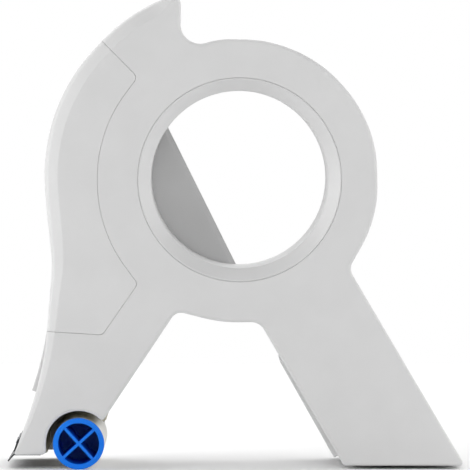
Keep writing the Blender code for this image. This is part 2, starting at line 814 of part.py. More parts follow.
def tongue_outline(gap):
    """Return the tongue's side view: a strip that thickens down the front edge."""
    z_top = hub_point((0.0, TONGUE_TOP_share))[1] + gap
    z_end = neck()[1] + TONGUE_END - gap
    run = front_run(z_end, z_top)
    ways = [Vector((b[0] - a[0], b[1] - a[1])).normalized() for a, b in zip(run, run[1:])]
    ways.append(ways[-1])
    outer = []
    inner = []
    for point, way in zip(run, ways):
        out = Vector((-way.y, way.x))
        share = (z_top - point[1]) / (z_top - z_end)
        outer.append(tuple(Vector(point) + out * (TONGUE_OUT * share + gap)))
        inner.append(tuple(Vector(point) - out * (TONGUE_IN + gap)))
    return outer + inner[::-1]


def make_grip_cover():
    """Make the cover that wraps the grip from side to side, with the tongue down its front."""
    corners = grip_corners()
    cover = rounded_body("grip_cover", corners, len(front_corners()), (-HALF_W, HALF_W), parts)
    combine(cover, seam_prism("cover_bounds", 0.0), "INTERSECT")
    depths = [COVER_T] * len(corners)
    core = rounded_body("cover_inside", inset(corners, depths), len(front_corners()),
                        (-HALF_W + COVER_T, HALF_W - COVER_T), cutters, skin=COVER_T)
    cut(cover, core)
    tongue = prism("tongue", tongue_outline(0.0), -TONGUE_W / 2, TONGUE_W / 2, cutters)
    join(cover, tongue)
    cover.data.materials.append(material("grip_cover", GREY_COVER))
    return cover


def strip_outline(gap):
    """Return the side view of the strip on the leg's front face."""
    heel = (HUB_X + HEEL_X, FOOT_Z)
    top = hub_point(ARCH_LEG_share)
    length = math.dist(heel, top)
    shares = (STRIP_shares[0] - gap / length, STRIP_shares[1] + gap / length)
    way = (Vector(heel) - Vector(top)).normalized()
    out = Vector((way.y, -way.x))
    high = between(top, heel, shares[0])
    low = between(top, heel, shares[1])
    return [tuple(p) for p in (high + out * (STRIP_TOP + gap), low + out * (STRIP_FOOT + gap),
                               low - out * (STRIP_IN + gap), high - out * (STRIP_IN + gap))]


def make_leg_strip():
    """Make the strip that lies in a slot on the front of the leg."""
    strip = prism("leg_cover", strip_outline(0.0), -STRIP_W / 2, STRIP_W / 2, parts)
    soften(strip, STRIP_EDGE_R, SHARP_ANGLE)
    strip.data.materials.append(material("leg_cover", GREY))
    return strip


# Hub

def make_hub_bezel():
    """Make the funnel ring that fills the near shell's seat and carries the tube."""
    face = HALF_W
    recess = FUNNEL_R - BEZEL_WALL
    groove = recess + RING_GROOVE
    step = FUNNEL_D + FUNNEL_BACK
    ring_top = step + TUBE_PLAY + TUBE_FLANGE_T + TUBE_PLAY
    ring_end = ring_top + RING_T + 2 * RING_PLAY
    profile = ((FUNNEL_R - FUNNEL_LIP, face), (FUNNEL_R, face - FUNNEL_LIP / 2),
               (FUNNEL_R, face - BEZEL_D), (recess, face - BEZEL_D), (recess, face - ring_end),
               (groove, face - ring_end), (groove, face - ring_top), (recess, face - ring_top),
               (recess, face - step), (BORE_R, face - step), (BORE_R, face - FUNNEL_D))
    bezel = turned("hub_bezel", profile, (HUB_X, HUB_Z), parts, HUB_STEPS)
    bezel.data.materials.append(material("hub_bezel", GREY))
    return bezel


def make_core_hub():
    """Make the tube that the tape core turns on, with its flange and grip ribs."""
    near = HALF_W - FUNNEL_D - FUNNEL_BACK - TUBE_PLAY
    far = -HALF_W + PLATE_T + TUBE_FAR_GAP
    flange = FUNNEL_R - BEZEL_WALL - TUBE_GAP
    bore = BORE_R + TUBE_STEP
    profile = ((flange, near), (flange, near - TUBE_FLANGE_T), (TUBE_R, near - TUBE_FLANGE_T),
               (TUBE_R, far + TUBE_LEAD), (TUBE_R - TUBE_LEAD / 2, far), (bore, far), (bore, near))
    tube = turned("core_hub", profile, (HUB_X, HUB_Z), parts, HUB_STEPS)
    length = near - far
    for i in range(RIB_COUNT):
        angle = FULL_TURN * (i + 0.5) / RIB_COUNT
        foot = polar((HUB_X, HUB_Z), TUBE_R - RIB_H, angle)
        tip = polar((HUB_X, HUB_Z), TUBE_R + RIB_H, angle)
        rib = prism(f"tube_rib_{i + 1}", band(foot, tip, (0.0, 1.0), (RIB_W / 2, RIB_W / 2), RIB_W / 2),
                    -near + length * RIB_START_share, -near + length * RIB_END_share, cutters)
        join(tube, rib)
    tube.data.materials.append(material("core_hub", GREY))
    return tube


def make_hub_ring():
    """Make the open spring ring that keeps the tube's flange in the funnel ring."""
    recess = FUNNEL_R - BEZEL_WALL
    top = HALF_W - FUNNEL_D - FUNNEL_BACK - TUBE_PLAY - TUBE_FLANGE_T - TUBE_PLAY - RING_PLAY
    outer = recess + RING_GROOVE - RING_PLAY
    profile = ((outer, top), (outer, top - RING_T), (RING_IN_R, top - RING_T), (RING_IN_R, top))
    ring = turned("hub_ring", profile, (HUB_X, HUB_Z), parts, HUB_STEPS)
    slot = sector((HUB_X, HUB_Z), (RING_IN_R - OVERRUN, outer + OVERRUN), -RING_SLOT / 2, RING_SLOT / 2)
    cut(ring, prism("ring_slot", slot, -HALF_W, HALF_W, cutters))
    ring.data.materials.append(material("hub_ring", STEEL))
    return ring


# Press roller

def roller_ends():
    """Return the roller's near and far end as heights towards -Y."""
    return HALF_W - ROLLER_NEAR_SET, -HALF_W + PLATE_T + ROLLER_FAR_GAP


def make_roller_core():
    """Make the blue roller body: a rim, a drum closed halfway, crossed webs and a bored hub."""
    near, far = roller_ends()
    axis = roller_axis()
    drum = ROLLER_R - SLEEVE_T
    bore = ROLLER_R - RIM_T
    profile = ((ROLLER_R, near), (ROLLER_R, near - RIM_D), (drum, near - RIM_D), (drum, far),
               (bore, far), (bore, near))
    core = turned("roller_core", profile, axis, parts, ROLLER_STEPS)
    hub_near = near - (near - far) * ROLLER_HUB_NEAR_share
    reach = (drum + bore) / 2
    for i in range(2):
        angle = (i + 0.5) * math.pi / 2 + WEB_TURN
        web = prism(f"roller_web_{i + 1}",
                    band(polar(axis, -reach, angle), polar(axis, reach, angle), (0.0, 1.0),
                         (WEB_T / 2, WEB_T / 2), WEB_T / 2), -near + WEB_SET, -far - WEB_SET, cutters)
        join(core, web)
    wall = -hub_near + WEB_SET
    join(core, rod("roller_wall", axis, reach, wall, wall + DRUM_WALL_T, cutters))
    join(core, rod("roller_hub", axis, ROLLER_HUB_R, -hub_near, -far - WEB_SET / 2, cutters))
    cut(core, rod("roller_hub_bore", axis, BUSH_R + BUSH_PLAY, -hub_near + ROLLER_CAP_T,
                  HALF_W + OVERRUN, cutters))
    core.data.materials.append(material("roller_core", BLUE))
    return core


def make_roller_sleeve():
    """Make the rubber sleeve that presses the tape down."""
    near, far = roller_ends()
    seat = ROLLER_R - SLEEVE_T + SLEEVE_PLAY
    top = near - RIM_D - SLEEVE_PLAY
    profile = ((ROLLER_R, top), (ROLLER_R, far), (seat, far), (seat, top))
    sleeve = turned("roller_sleeve", profile, roller_axis(), parts, ROLLER_STEPS)
    sleeve.data.materials.append(material("roller_sleeve", RUBBER))
    return sleeve


def bush_places():
    """Return the near and far bush as spans of height, with the axle's collar between them."""
    near, far = roller_ends()
    floor = near - (near - far) * ROLLER_HUB_NEAR_share - ROLLER_CAP_T
    first = (floor - PIN_PLAY, floor - PIN_PLAY - BUSH_L)
    second = (far + BUSH_L, far)
    return first, second


def make_roller_bushes():
    """Make the two plain bushes pressed into the roller's hub."""
    for i, (top, end) in enumerate(bush_places()):
        bore = AXLE_R + AXLE_PLAY
        profile = ((BUSH_R, top), (BUSH_R, end), (bore, end), (bore, top))
        bush = turned(f"roller_bush_{i + 1}", profile, roller_axis(), parts, SMALL_STEPS)
        bush.data.materials.append(material(f"roller_bush_{i + 1}", ACETAL))


def make_roller_axle():
    """Make the axle: a collar held by the bushes and a round seat in the far shell."""
    first, second = bush_places()
    collar = second[0] + PIN_PLAY + AXLE_COLLAR_T
    seat = -HALF_W + PLATE_T + ROLLER_FAR_GAP - PIN_PLAY * 2
    end = -HALF_W + PLATE_T - AXLE_SEAT_D + PIN_PLAY
    profile = ((0.0, first[0] - PIN_PLAY), (AXLE_R, first[0] - PIN_PLAY), (AXLE_R, collar),
               (AXLE_COLLAR_R, collar), (AXLE_COLLAR_R, collar - AXLE_COLLAR_T),
               (AXLE_R, collar - AXLE_COLLAR_T), (AXLE_R, seat), (AXLE_SEAT_R, seat),
               (AXLE_SEAT_R, end), (AXLE_SCREW_R + PILOT_PLAY, end),
               (AXLE_SCREW_R + PILOT_PLAY, end + AXLE_BORE_L), (0.0, end + AXLE_BORE_L))
    axle = turned("roller_axle", profile, roller_axis(), parts, SMALL_STEPS)
    axle.data.materials.append(material("roller_axle", STEEL))
    return axle


def make_axle_screw():
    """Make the screw that draws the axle's seat against the far shell."""
    top = -HALF_W + AXLE_HEAD_SINK - HEAD_PLAY
    end = top - AXLE_HEAD_T
    reach = -HALF_W + PLATE_T - AXLE_SEAT_D + AXLE_BORE_L * AXLE_BITE_share
    profile = ((0.0, reach), (AXLE_SCREW_R, reach), (AXLE_SCREW_R, top), (AXLE_HEAD_R, top),
               (AXLE_HEAD_R, end), (0.0, end))
    screw = turned("axle_screw", profile, roller_axis(), parts, SMALL_STEPS)
    cut(screw, rod("axle_drive", roller_axis(), HEAD_DRIVE_R, -end - AXLE_HEAD_T / 2,
                   HALF_W + OVERRUN, cutters, HEX_SIDES))
    screw.data.materials.append(material("axle_screw", STEEL))
    return screw


def make_roller_hood():
    """Make the dark hood that closes the roller's chamber from the grip."""
    reach = HALF_W - PLATE_T - GAP
    section = sector(roller_axis(), (ARCH_R, ARCH_R + HOOD_T), HOOD_START, HOOD_END)
    hood = prism("roller_hood", section, -reach, reach, parts)
    hood.data.materials.append(material("roller_hood", DARK))
    return hood


# Blade, clip and nose block

def blade_line():
    """Return the X and Z of the blade's bend and of its teeth's tips."""
    bend = Vector((nose_x() - BLADE_OUT, NOSE_Z - BLADE_SEAT - SHEET_T))
    tip = Vector((nose_x() - TOOTH_OUT, NOSE_Z - TOOTH_DROP))
    return bend, tip


def blade_profile():
    """Return the blade's section: a flat flange under the nose and a slanted toothed edge."""
    bend, tip = blade_line()
    top = NOSE_Z - BLADE_SEAT
    way = (tip - bend).normalized()
    across = Vector((-way.y, way.x)) * SHEET_T
    back = nose_x() + BLADE_BACK
    return [(back, top), (back, bend.y), tuple(bend), tuple(tip), tuple(tip - across),
            (bend.x - across.x, top)]


def make_blade():
    """Make the toothed blade from bent sheet, its teeth cut by a row of notches."""
    half = BLADE_W / 2
    blade = prism("blade", blade_profile(), -half, half, parts)
    bend, tip = [Vector((p.x, 0.0, p.y)) for p in blade_line()]
    up = (bend - tip).normalized()
    out = Vector((up.z, 0.0, -up.x))
    count = round(BLADE_W / TOOTH_PITCH)
    bm = bmesh.new()
    below = tip - up * TOOTH_H
    front = []
    for i in range(count):
        y = -half + BLADE_W * (i + 0.5) / count
        front += [tip + Vector((0.0, y - TOOTH_PITCH / 2, 0.0)),
                  tip + up * TOOTH_H + Vector((0.0, y, 0.0))]
    front.append(tip + Vector((0.0, half, 0.0)))
    front += [below + Vector((0.0, half, 0.0)), below + Vector((0.0, -half, 0.0))]
    face = bm.faces.new([bm.verts.new(p - out * OVERRUN) for p in front])
    grown = bmesh.ops.extrude_face_region(bm, geom=[face])
    moved = [v for v in grown["geom"] if isinstance(v, bmesh.types.BMVert)]
    bmesh.ops.translate(bm, vec=out * OVERRUN * 2, verts=moved)
    cut(blade, mesh_object("tooth_notches", bm, cutters))
    for i, y in enumerate(pin_places(BLADE_W, BLADE_PIN_share)):
        cut(blade, leaning_rod(f"blade_hole_{i + 1}", (blade_pin_x(), NOSE_Z), y, 0.0,
                               PIN_R + PIN_PLAY, -OVERRUN, OVERRUN, cutters))
    blade.data.materials.append(material("blade", BLADE_STEEL))
    return blade


def pin_places(width, spread_share):
    """Return the Y of the two screws that hold a sheet of some width."""
    reach = width / 2 * spread_share
    return -reach, reach


def blade_pin_x():
    """Return the X of the blade's screws on its flange."""
    return nose_x() + BLADE_BACK - (BLADE_BACK + BLADE_OUT) * PIN_BLADE_share


def nose_line():
    """Return the nose's lowest front point, the way up its front face and the way out of it."""
    low, high = [Vector(c[:2]) for c in front_corners()[:2]]
    up = (high - low).normalized()
    return low, up, Vector((-up.y, up.x))


def lean(way):
    """Return the turn about Y that points an upright bar along a direction in the XZ plane."""
    return math.atan2(way[0], way[1])


def leaning_rod(name, place, y, angle, radius, low, high, group):
    """Make a round bar through a place, leaned by an angle about Y, from one height to another."""
    made = turned(name, ((0.0, high), (radius, high), (radius, low), (0.0, low)), place, group,
                  SMALL_STEPS)
    made.location = (place[0], y, place[1])
    made.rotation_euler = (0.0, angle, 0.0)
    return made


def pins():
    """Return the name, foot, lean and Y of the four small screws that go into the nose block."""
    low, up, out = nose_line()
    sheet = NOSE_Z - BLADE_SEAT - SHEET_T
    clip = low + up * CLIP_PIN + out * (CLIP_OFF + SHEET_T)
    places = []
    for i, y in enumerate(pin_places(BLADE_W, BLADE_PIN_share)):
        places.append((f"blade_screw_{i + 1}", (blade_pin_x(), sheet), math.pi, y))
    for i, y in enumerate(pin_places(CLIP_W, CLIP_PIN_share)):
        places.append((f"clip_screw_{i + 1}", tuple(clip), lean(out), y))
    return places


def make_pins():
    """Make the four small screws; each head lies on its sheet and its shank points inwards."""
    for name, foot, angle, y in pins():
        profile = ((0.0, HEAD_PLAY + PIN_HEAD_T), (PIN_HEAD_R, HEAD_PLAY + PIN_HEAD_T),
                   (PIN_HEAD_R, HEAD_PLAY), (PIN_R, HEAD_PLAY), (PIN_R, -PIN_L), (0.0, -PIN_L))
        pin = turned(name, profile, foot, parts, SMALL_STEPS)
        pin.location = (foot[0], y, foot[1])
        pin.rotation_euler = (0.0, angle, 0.0)
        top = HEAD_PLAY + PIN_HEAD_T
        cut(pin, leaning_rod(name + "_drive", foot, y, angle, PIN_DRIVE_R, top - PIN_DRIVE_D,
                             top + OVERRUN, cutters))
        pin.data.materials.append(material(name, STEEL))


def pin_holes(tag, radius, depth):
    """Return bars for the holes that the four small screws need in a body."""
    return [leaning_rod(f"{tag}_{name}", foot, y, angle, radius, -depth, OVERRUN, cutters)
            for name, foot, angle, y in pins()]


def make_front_clip():
    """Make the straight clip sheet on the front of the nose."""
    low, up, out = nose_line()
    near, far = CLIP_OFF, CLIP_OFF + SHEET_T
    section = [tuple(low + up * CLIP_LOW + out * near), tuple(low + up * CLIP_LOW + out * far),
               tuple(low + up * CLIP_HIGH + out * far), tuple(low + up * CLIP_HIGH + out * near)]
    clip = prism("front_clip", section, -CLIP_W / 2, CLIP_W / 2, parts)
    foot = low + up * CLIP_PIN
    for i, y in enumerate(pin_places(CLIP_W, CLIP_PIN_share)):
        cut(clip, leaning_rod(f"clip_hole_{i + 1}", tuple(foot), y, lean(out), PIN_R + PIN_PLAY,
                              -OVERRUN, OVERRUN, cutters))
    clip.data.materials.append(material("front_clip", BLADE_STEEL))
    return clip


def make_nose_block():
    """Make the block inside the nose that the four small screws bite into."""
    low, up, out = nose_line()
    skin = low - out * (NOSE_WALL_T + BLOCK_GAP)
    z_low = NOSE_Z + NOSE_FLOOR_T + BLOCK_GAP
    z_high = z_low + BLOCK_H
    front = [tuple(skin + up * ((z - skin.y) / up.y)) for z in (z_low, z_high)]
    axis = roller_axis()
    radius = ARCH_R + WALL_T + HOOD_T + GAP + BLOCK_GAP
    start = math.pi - math.asin((z_high - axis[1]) / radius)
    section = [*front, *arc_points(axis, radius, start, math.pi), (axis[0] - radius, z_low)]
    reach = HALF_W - PLATE_T - BLOCK_GAP
    block = prism("nose_block", section, -reach, reach, parts)
    cut(block, *pin_holes("block", PIN_R + PILOT_PLAY, PIN_L + PIN_BORE_MORE))
    block.data.materials.append(material("nose_block", DARK))
    return block


# Screws

def make_shell_screws():
    """Make the six screws that join the shells from the far side."""
    seat = HALF_W - HEAD_SINK + HEAD_PLAY
    for i, share in enumerate(BOSS_shares):
        place = hub_point(share)
        profile = ((0.0, SCREW_BITE), (SHANK_R, SCREW_BITE), (SHANK_R, -seat), (HEAD_R, -seat),
                   (HEAD_R, -seat - HEAD_T), (0.0, -seat - HEAD_T))
        screw = turned(f"shell_screw_{i + 1}", profile, place, parts, SMALL_STEPS)
        cut(screw, rod(f"screw_drive_{i + 1}", place, HEAD_DRIVE_R, seat + HEAD_T - HEAD_DRIVE_D,
                       HALF_W + OVERRUN, cutters, HEX_SIDES))
        screw.data.materials.append(material(f"shell_screw_{i + 1}", STEEL))


def clear_scene():
    """Empty the open file so that the script always starts from nothing."""
    for thing in list(bpy.data.objects):
        bpy.data.objects.remove(thing, do_unlink=True)


def new_group(name):
    """Make a collection in the scene."""
    made = bpy.data.collections.new(name)
    bpy.context.scene.collection.children.link(made)
    return made


def main():
    """Build every piece of the applicator."""
    seats = cover_seats()
    nose_holes = pin_holes("nose", PIN_R + PIN_PLAY, PIN_L)
    make_near_shell(seats, nose_holes)
    make_far_shell(seats, nose_holes)
    make_grip_cover()
    make_leg_strip()
    make_hub_bezel()
    make_core_hub()
    make_hub_ring()
    make_roller_core()
    make_roller_sleeve()
    make_roller_bushes()
    make_roller_axle()
    make_axle_screw()
    make_roller_hood()
    make_nose_block()
    make_blade()
    make_front_clip()
    make_pins()
    make_shell_screws()


clear_scene()
parts = new_group("masking_tape_applicator")
cutters = new_group(CUTTERS)
main()
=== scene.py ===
"""Looks of the masking tape applicator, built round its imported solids.

Lengths are in metres. X runs from the cutting tip to the rest leg, Y from the near side to the
far side and Z up. Outlines are drawn in the XZ plane, clockwise as seen from the near side, and
a share counts bowl radii from the hub axis.
"""

import math

import bmesh
import bpy
import numpy as np
from mathutils import Matrix


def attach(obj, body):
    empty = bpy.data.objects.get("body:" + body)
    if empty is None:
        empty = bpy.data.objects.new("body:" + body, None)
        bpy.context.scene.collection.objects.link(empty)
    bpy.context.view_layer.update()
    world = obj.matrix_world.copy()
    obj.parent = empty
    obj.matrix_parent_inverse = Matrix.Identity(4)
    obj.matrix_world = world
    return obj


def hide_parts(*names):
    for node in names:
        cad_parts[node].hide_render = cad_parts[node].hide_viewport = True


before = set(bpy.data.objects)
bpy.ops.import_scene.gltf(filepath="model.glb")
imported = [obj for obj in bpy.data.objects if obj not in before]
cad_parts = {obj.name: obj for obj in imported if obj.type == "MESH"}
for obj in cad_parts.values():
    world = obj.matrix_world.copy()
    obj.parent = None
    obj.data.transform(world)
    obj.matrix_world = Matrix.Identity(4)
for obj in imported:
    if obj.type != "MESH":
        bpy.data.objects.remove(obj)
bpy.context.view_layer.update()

MM = 0.001
DEG = math.pi / 180.0
TURN = 2.0 * math.pi

# Sizes shared with the solids
HALF_W = 30.0 * MM
HUB_X = 1.939 * MM
BOWL_R = 57.2 * MM
STAND_H = 61.8 * MM
HUB_Z = BOWL_R + STAND_H
HUB = np.array((HUB_X, HUB_Z))
OVERRUN = 4.0 * MM
GAP = 0.3 * MM
PLATE_T = 2.8 * MM
FRONT_T = 3.6 * MM
WALL_T = 2.4 * MM
EDGE_R = 1.1 * MM
INNER_EDGE_R = 0.4 * MM
FRONT_R = 5.6 * MM
FRONT_TIP_R = 1.7 * MM
FRONT_FULL_share = -0.40
FRONT_POWER = 1.5
ROUND_SLOPE = 0.45
ROUND_FIT = 0.75
HORN_R = 3.0 * MM
HORN_ROOT_R = 8.2 * MM
LEG_ROOT_R = 5.7 * MM
TOE_X = 92.6 * MM
HEEL_X = 42.8 * MM
FOOT_Z = 1.5 * MM
TOE_R = 1.2 * MM
HEEL_R = 2.0 * MM
ARCH_LEG_R = 6.2 * MM
ARCH_ARM_R = 4.5 * MM
BOWL_shares = ((-0.150, 1.010), (0.218, 1.003), (0.581, 0.847), (0.847, 0.561),
               (0.981, 0.250), (0.992, -0.146), (0.931, -0.381))
HORN_TIP_share = (-0.426, 1.351)
HORN_ROOT_share = (-0.424, 0.924)
LEG_ROOT_share = (0.784, -0.639)
ARCH_shares = ((-0.070, -1.024), (-0.204, -1.007))
ARCH_LEG_share = (0.142, -1.021)
ARCH_ARM_share = (-0.455, -0.943)
FRONT_shares = ((-1.394, -1.229), (-1.363, -0.806), (-1.345, -0.613), (-1.385, -0.249),
                (-1.412, 0.076), (-1.349, 0.452), (-1.174, 0.801), (-0.814, 1.183))
HORN_FOOT_share = (-0.426, 1.125)
HORN_FOOT_R = 5.7 * MM
SLANT_TOP_share = (-0.690, 0.708)
SLANT_TOP_R = 24.0 * MM
SLANT_END_share = (0.067, -0.818)
SLANT_END_R = 10.0 * MM
LEG_TOP_share = 0.243
LEG_TOP_R = 8.0 * MM
LUG_BACK = 8.4 * MM
LUG_FRONT = 16.4 * MM
LUG_DROP = 6.84 * MM
LUG_BACK_R = 2.0 * MM
LUG_FRONT_R = 1.0 * MM
POCKET_OFF = 1.2 * MM
POCKET_R = BOWL_R + POCKET_OFF
POCKET_T = 2.0 * MM
POCKET_NEAR_ANGLE = 112.0 * DEG
POCKET_FAR_ANGLE = 131.0 * DEG
POCKET_DROP_share = 0.97
MOUTH_IN = 3.2 * MM
MOUTH_OUT = 14.8 * MM
MOUTH_START = 108.0 * DEG
MOUTH_END = -39.0 * DEG
LEG_WALL_IN = 0.2 * MM
LEG_WALL_R = BOWL_R - LEG_WALL_IN
LEG_WALL_START = -63.0 * DEG
LEG_WALL_END = -84.0 * DEG
LEG_LID_shares = (0.44, 0.99)
ARM_MOUTH_W = 12.0 * MM
ARM_MOUTH_shares = (0.10, 1.12)
BOSS_shares = ((-0.672, 1.082), (-1.145, 0.494), (-1.217, -0.510), (-1.231, -1.227),
               (0.468, -1.191), (1.149, -1.836))
BOSS_R = 4.2 * MM
SHANK_R = 1.5 * MM
PILOT_PLAY = 0.02 * MM
SCREW_BITE = 14.0 * MM
HEAD_R = 2.6 * MM
HEAD_T = 1.8 * MM
HEAD_SINK = 3.6 * MM
HEAD_PLAY = 0.05 * MM
HEX_R = 1.2 * MM
HEX_D = 1.0 * MM
ROLLER_share = -1.1573
ROLLER_R = 10.54 * MM
AXIS = np.array((HUB_X + ROLLER_share * BOWL_R, ROLLER_R))
ARCH_GAP = 2.96 * MM
ARCH_R = ROLLER_R + ARCH_GAP
ARCH_END_ANGLE = 50.0 * DEG
ARCH_TAIL = 1.6 * MM
ARM_END_R = 1.2 * MM
HOOD_T = 1.6 * MM
HOOD_START = 41.0 * DEG
HOOD_END = 196.0 * DEG
NECK_share = (-1.329, 1.386)
NECK = AXIS + np.array(NECK_share) * ARCH_R
NOSE_L = 13.0 * MM
NOSE_X = AXIS[0] - ARCH_R - NOSE_L
NOSE_Z = 6.0 * MM
NOSE_R = 0.6 * MM
NOSE_BACK_R = 1.8 * MM
NOSE_FLOOR_T = 1.5 * MM
NOSE_WALL_T = 2.4 * MM
COVER_T = 1.2 * MM
SEAM_CORNER_R = 2.6 * MM
SEAM_HALF_SPAN = 38.0 * DEG
SEAM_shares = ((-1.30, 1.310), (-0.731, 0.735), (-0.731, -0.747), (-0.985, -1.112),
               (-1.60, -1.075))
TONGUE_W = 38.0 * MM
TONGUE_IN = 1.0 * MM
TONGUE_OUT = 2.0 * MM
TONGUE_TOP_share = -0.98
TONGUE_END = 1.95 * MM
STRIP_W = 50.0 * MM
STRIP_IN = 1.0 * MM
STRIP_TOP = 1.1 * MM
STRIP_FOOT = 1.9 * MM
STRIP_shares = (0.27, 0.935)
TUBE_R = 37.9 * MM
TUBE_WALL = 1.3 * MM
TUBE_STEP = 0.1 * MM
BORE_R = TUBE_R - TUBE_WALL - TUBE_STEP
FUNNEL_W = 5.3 * MM
FUNNEL_R = BORE_R + FUNNEL_W
FUNNEL_LIP = 0.5 * MM
FUNNEL_D = 4.4 * MM
FUNNEL_BACK = 0.3 * MM
BEZEL_D = 7.2 * MM
BEZEL_WALL = 1.0 * MM
COLLAR_T = 2.4 * MM
COLLAR_LIP_T = 0.8 * MM
TUBE_GAP = 0.15 * MM
TUBE_FLANGE_T = 1.0 * MM
TUBE_PLAY = 0.1 * MM
TUBE_LEAD = 1.0 * MM
TUBE_FAR_GAP = 0.6 * MM
RIB_H = 0.3 * MM
RIB_W = 1.2 * MM
RIB_COUNT = 6
RIB_shares = (0.16, 0.94)
RING_T = 0.8 * MM
RING_GROOVE = 0.5 * MM
RING_PLAY = 0.08 * MM
ROLLER_NEAR_SET = 0.4 * MM
ROLLER_FAR_GAP = 0.6 * MM
RIM_T = 2.1 * MM
RIM_D = 2.0 * MM
SLEEVE_T = 1.1 * MM
SLEEVE_PLAY = 0.03 * MM
WEB_T = 1.15 * MM
WEB_TURN = -2.7 * DEG
WEB_SET = 0.3 * MM
DRUM_WALL_T = 1.1 * MM
CAP_R = 5.4 * MM
CAP_share = 0.46
AXLE_SCREW_R = 1.25 * MM
AXLE_HEAD_R = 3.6 * MM
AXLE_HEAD_SINK = 0.9 * MM
AXLE_SEAT_R = 5.0 * MM
AXLE_SEAT_D = 0.75 * MM
SEAT_PLAY = 0.05 * MM
SHEET_T = 0.5 * MM
BLADE_W = 50.0 * MM
BLADE_BACK = 10.7 * MM
BLADE_OUT = 0.2 * MM
TOOTH_OUT = 2.5 * MM
TOOTH_DROP = 3.1 * MM
TOOTH_PITCH = 1.25 * MM
TOOTH_H = 1.1 * MM
BLADE_SEAT = 0.05 * MM
CLIP_W = 48.0 * MM
CLIP_OFF = 0.35 * MM
CLIP_LOW = 0.8 * MM
CLIP_HIGH = 6.2 * MM
CLIP_PIN = 4.6 * MM
PIN_R = 0.9 * MM
PIN_HEAD_R = 1.5 * MM
PIN_HEAD_T = 0.4 * MM
PIN_L = 5.0 * MM
BLADE_PIN_share = 0.72
CLIP_PIN_share = 0.44
PIN_BLADE_share = 0.37

# Shown edges
SHOWN_GAP = 0.08 * MM
BEVEL_share = 0.66
BEVEL_TURN = 23.0 * DEG
EDGE_SLOPE_W = 2.2 * MM
EDGE_SLOPE_D = 1.2 * MM
TONGUE_SOFT = 0.7 * MM

# Shown screws: the shell screws' shanks end in the far side's bosses, shorter than the solids',
# and the small screws' sockets are shares of their heads
SCREW_L = 12.0 * MM
PIN_HEX_R_share = 0.5
PIN_HEX_D_share = 0.6

# Fineness of the shown surfaces
ARC_STEP = 2.0 * DEG
PROFILE_STEP = 15.0 * DEG
SHARP_TURN = 20.0 * DEG
SOFT_SEGMENTS = 3
TONGUE_STEPS = 40
WELD = 0.001 * MM
ROUND_RINGS = 8
ROUND_STEPS = 192
SMALL_STEPS = 48
SAME_PLACE = 0.02 * MM
STRAIGHT_share = 0.2
SMALL_EDGE = 0.25 * MM

# Patterns of the materials
MOTTLE_SIZE = 18.0 * MM
MOTTLE_shares = (0.35, 0.65)
GRAIN_SWING = 0.05
GRAIN_STRENGTH = 0.6
BEVEL_SAMPLES = 6
LINE_W = 0.12 * MM
LINE_L = 6.0 * MM
LINE_D = 0.01 * MM
LINE_STRENGTH = 0.4
LINE_SWING = (-0.08, 0.1)

# The photograph's view: the real length of a pixel on the near face, the picture's side, the
# camera's way from that face, the pixel straight ahead of the camera and that of the hub axis
PIXEL = 0.41 * MM
FRAME_PX = 470
CAMERA_FAR = 1.8
VANISH = (207.0, 105.0)
HUB_PX = (239.7, 179.8)
SENSOR_W = 36.0
CLIP_START = 0.05

# Studio
WORLD_LIGHT = 0.18
LAMP_AIM_DROP = 20.0 * MM
FLOOR_REACH = 0.7


# Outlines

def at(share):
    """Return the X and Z of a place given in bowl radii from the hub axis."""
    return HUB + np.array(share) * BOWL_R


def spot(share, radius=None):
    """Return an outline corner at a share; with no radius it is as round as its sides allow."""
    return (*at(share), radius)


def heading(start, end):
    """Return the way from one place to another, one long."""
    return (end - start) / np.hypot(*(end - start))


def round_to(centre, radius, angle):
    """Return the points of a circle about a centre: centre plus radius times cosine and sine."""
    angle = np.asarray(angle, float)
    return np.stack((centre[0] + radius * np.cos(angle), centre[1] + radius * np.sin(angle)), -1)


def circle(centre, radius, steps):
    """Return evenly spaced points of a whole circle."""
    return round_to(centre, radius, np.arange(steps) * TURN / steps)


def arc(centre, radius, start, end):
    """Return the points of an arc, both ends included."""
    count = max(2, math.ceil(abs(end - start) / ARC_STEP) + 1)
    return round_to(centre, radius, np.linspace(start, end, count))


def arc_corner(centre, radius, start, end):
    """Return the corner whose fillet is the arc: on the middle angle, radius over cosine out."""
    half = (end - start) / 2
    return (*round_to(centre, radius / math.cos(half), start + half), radius)


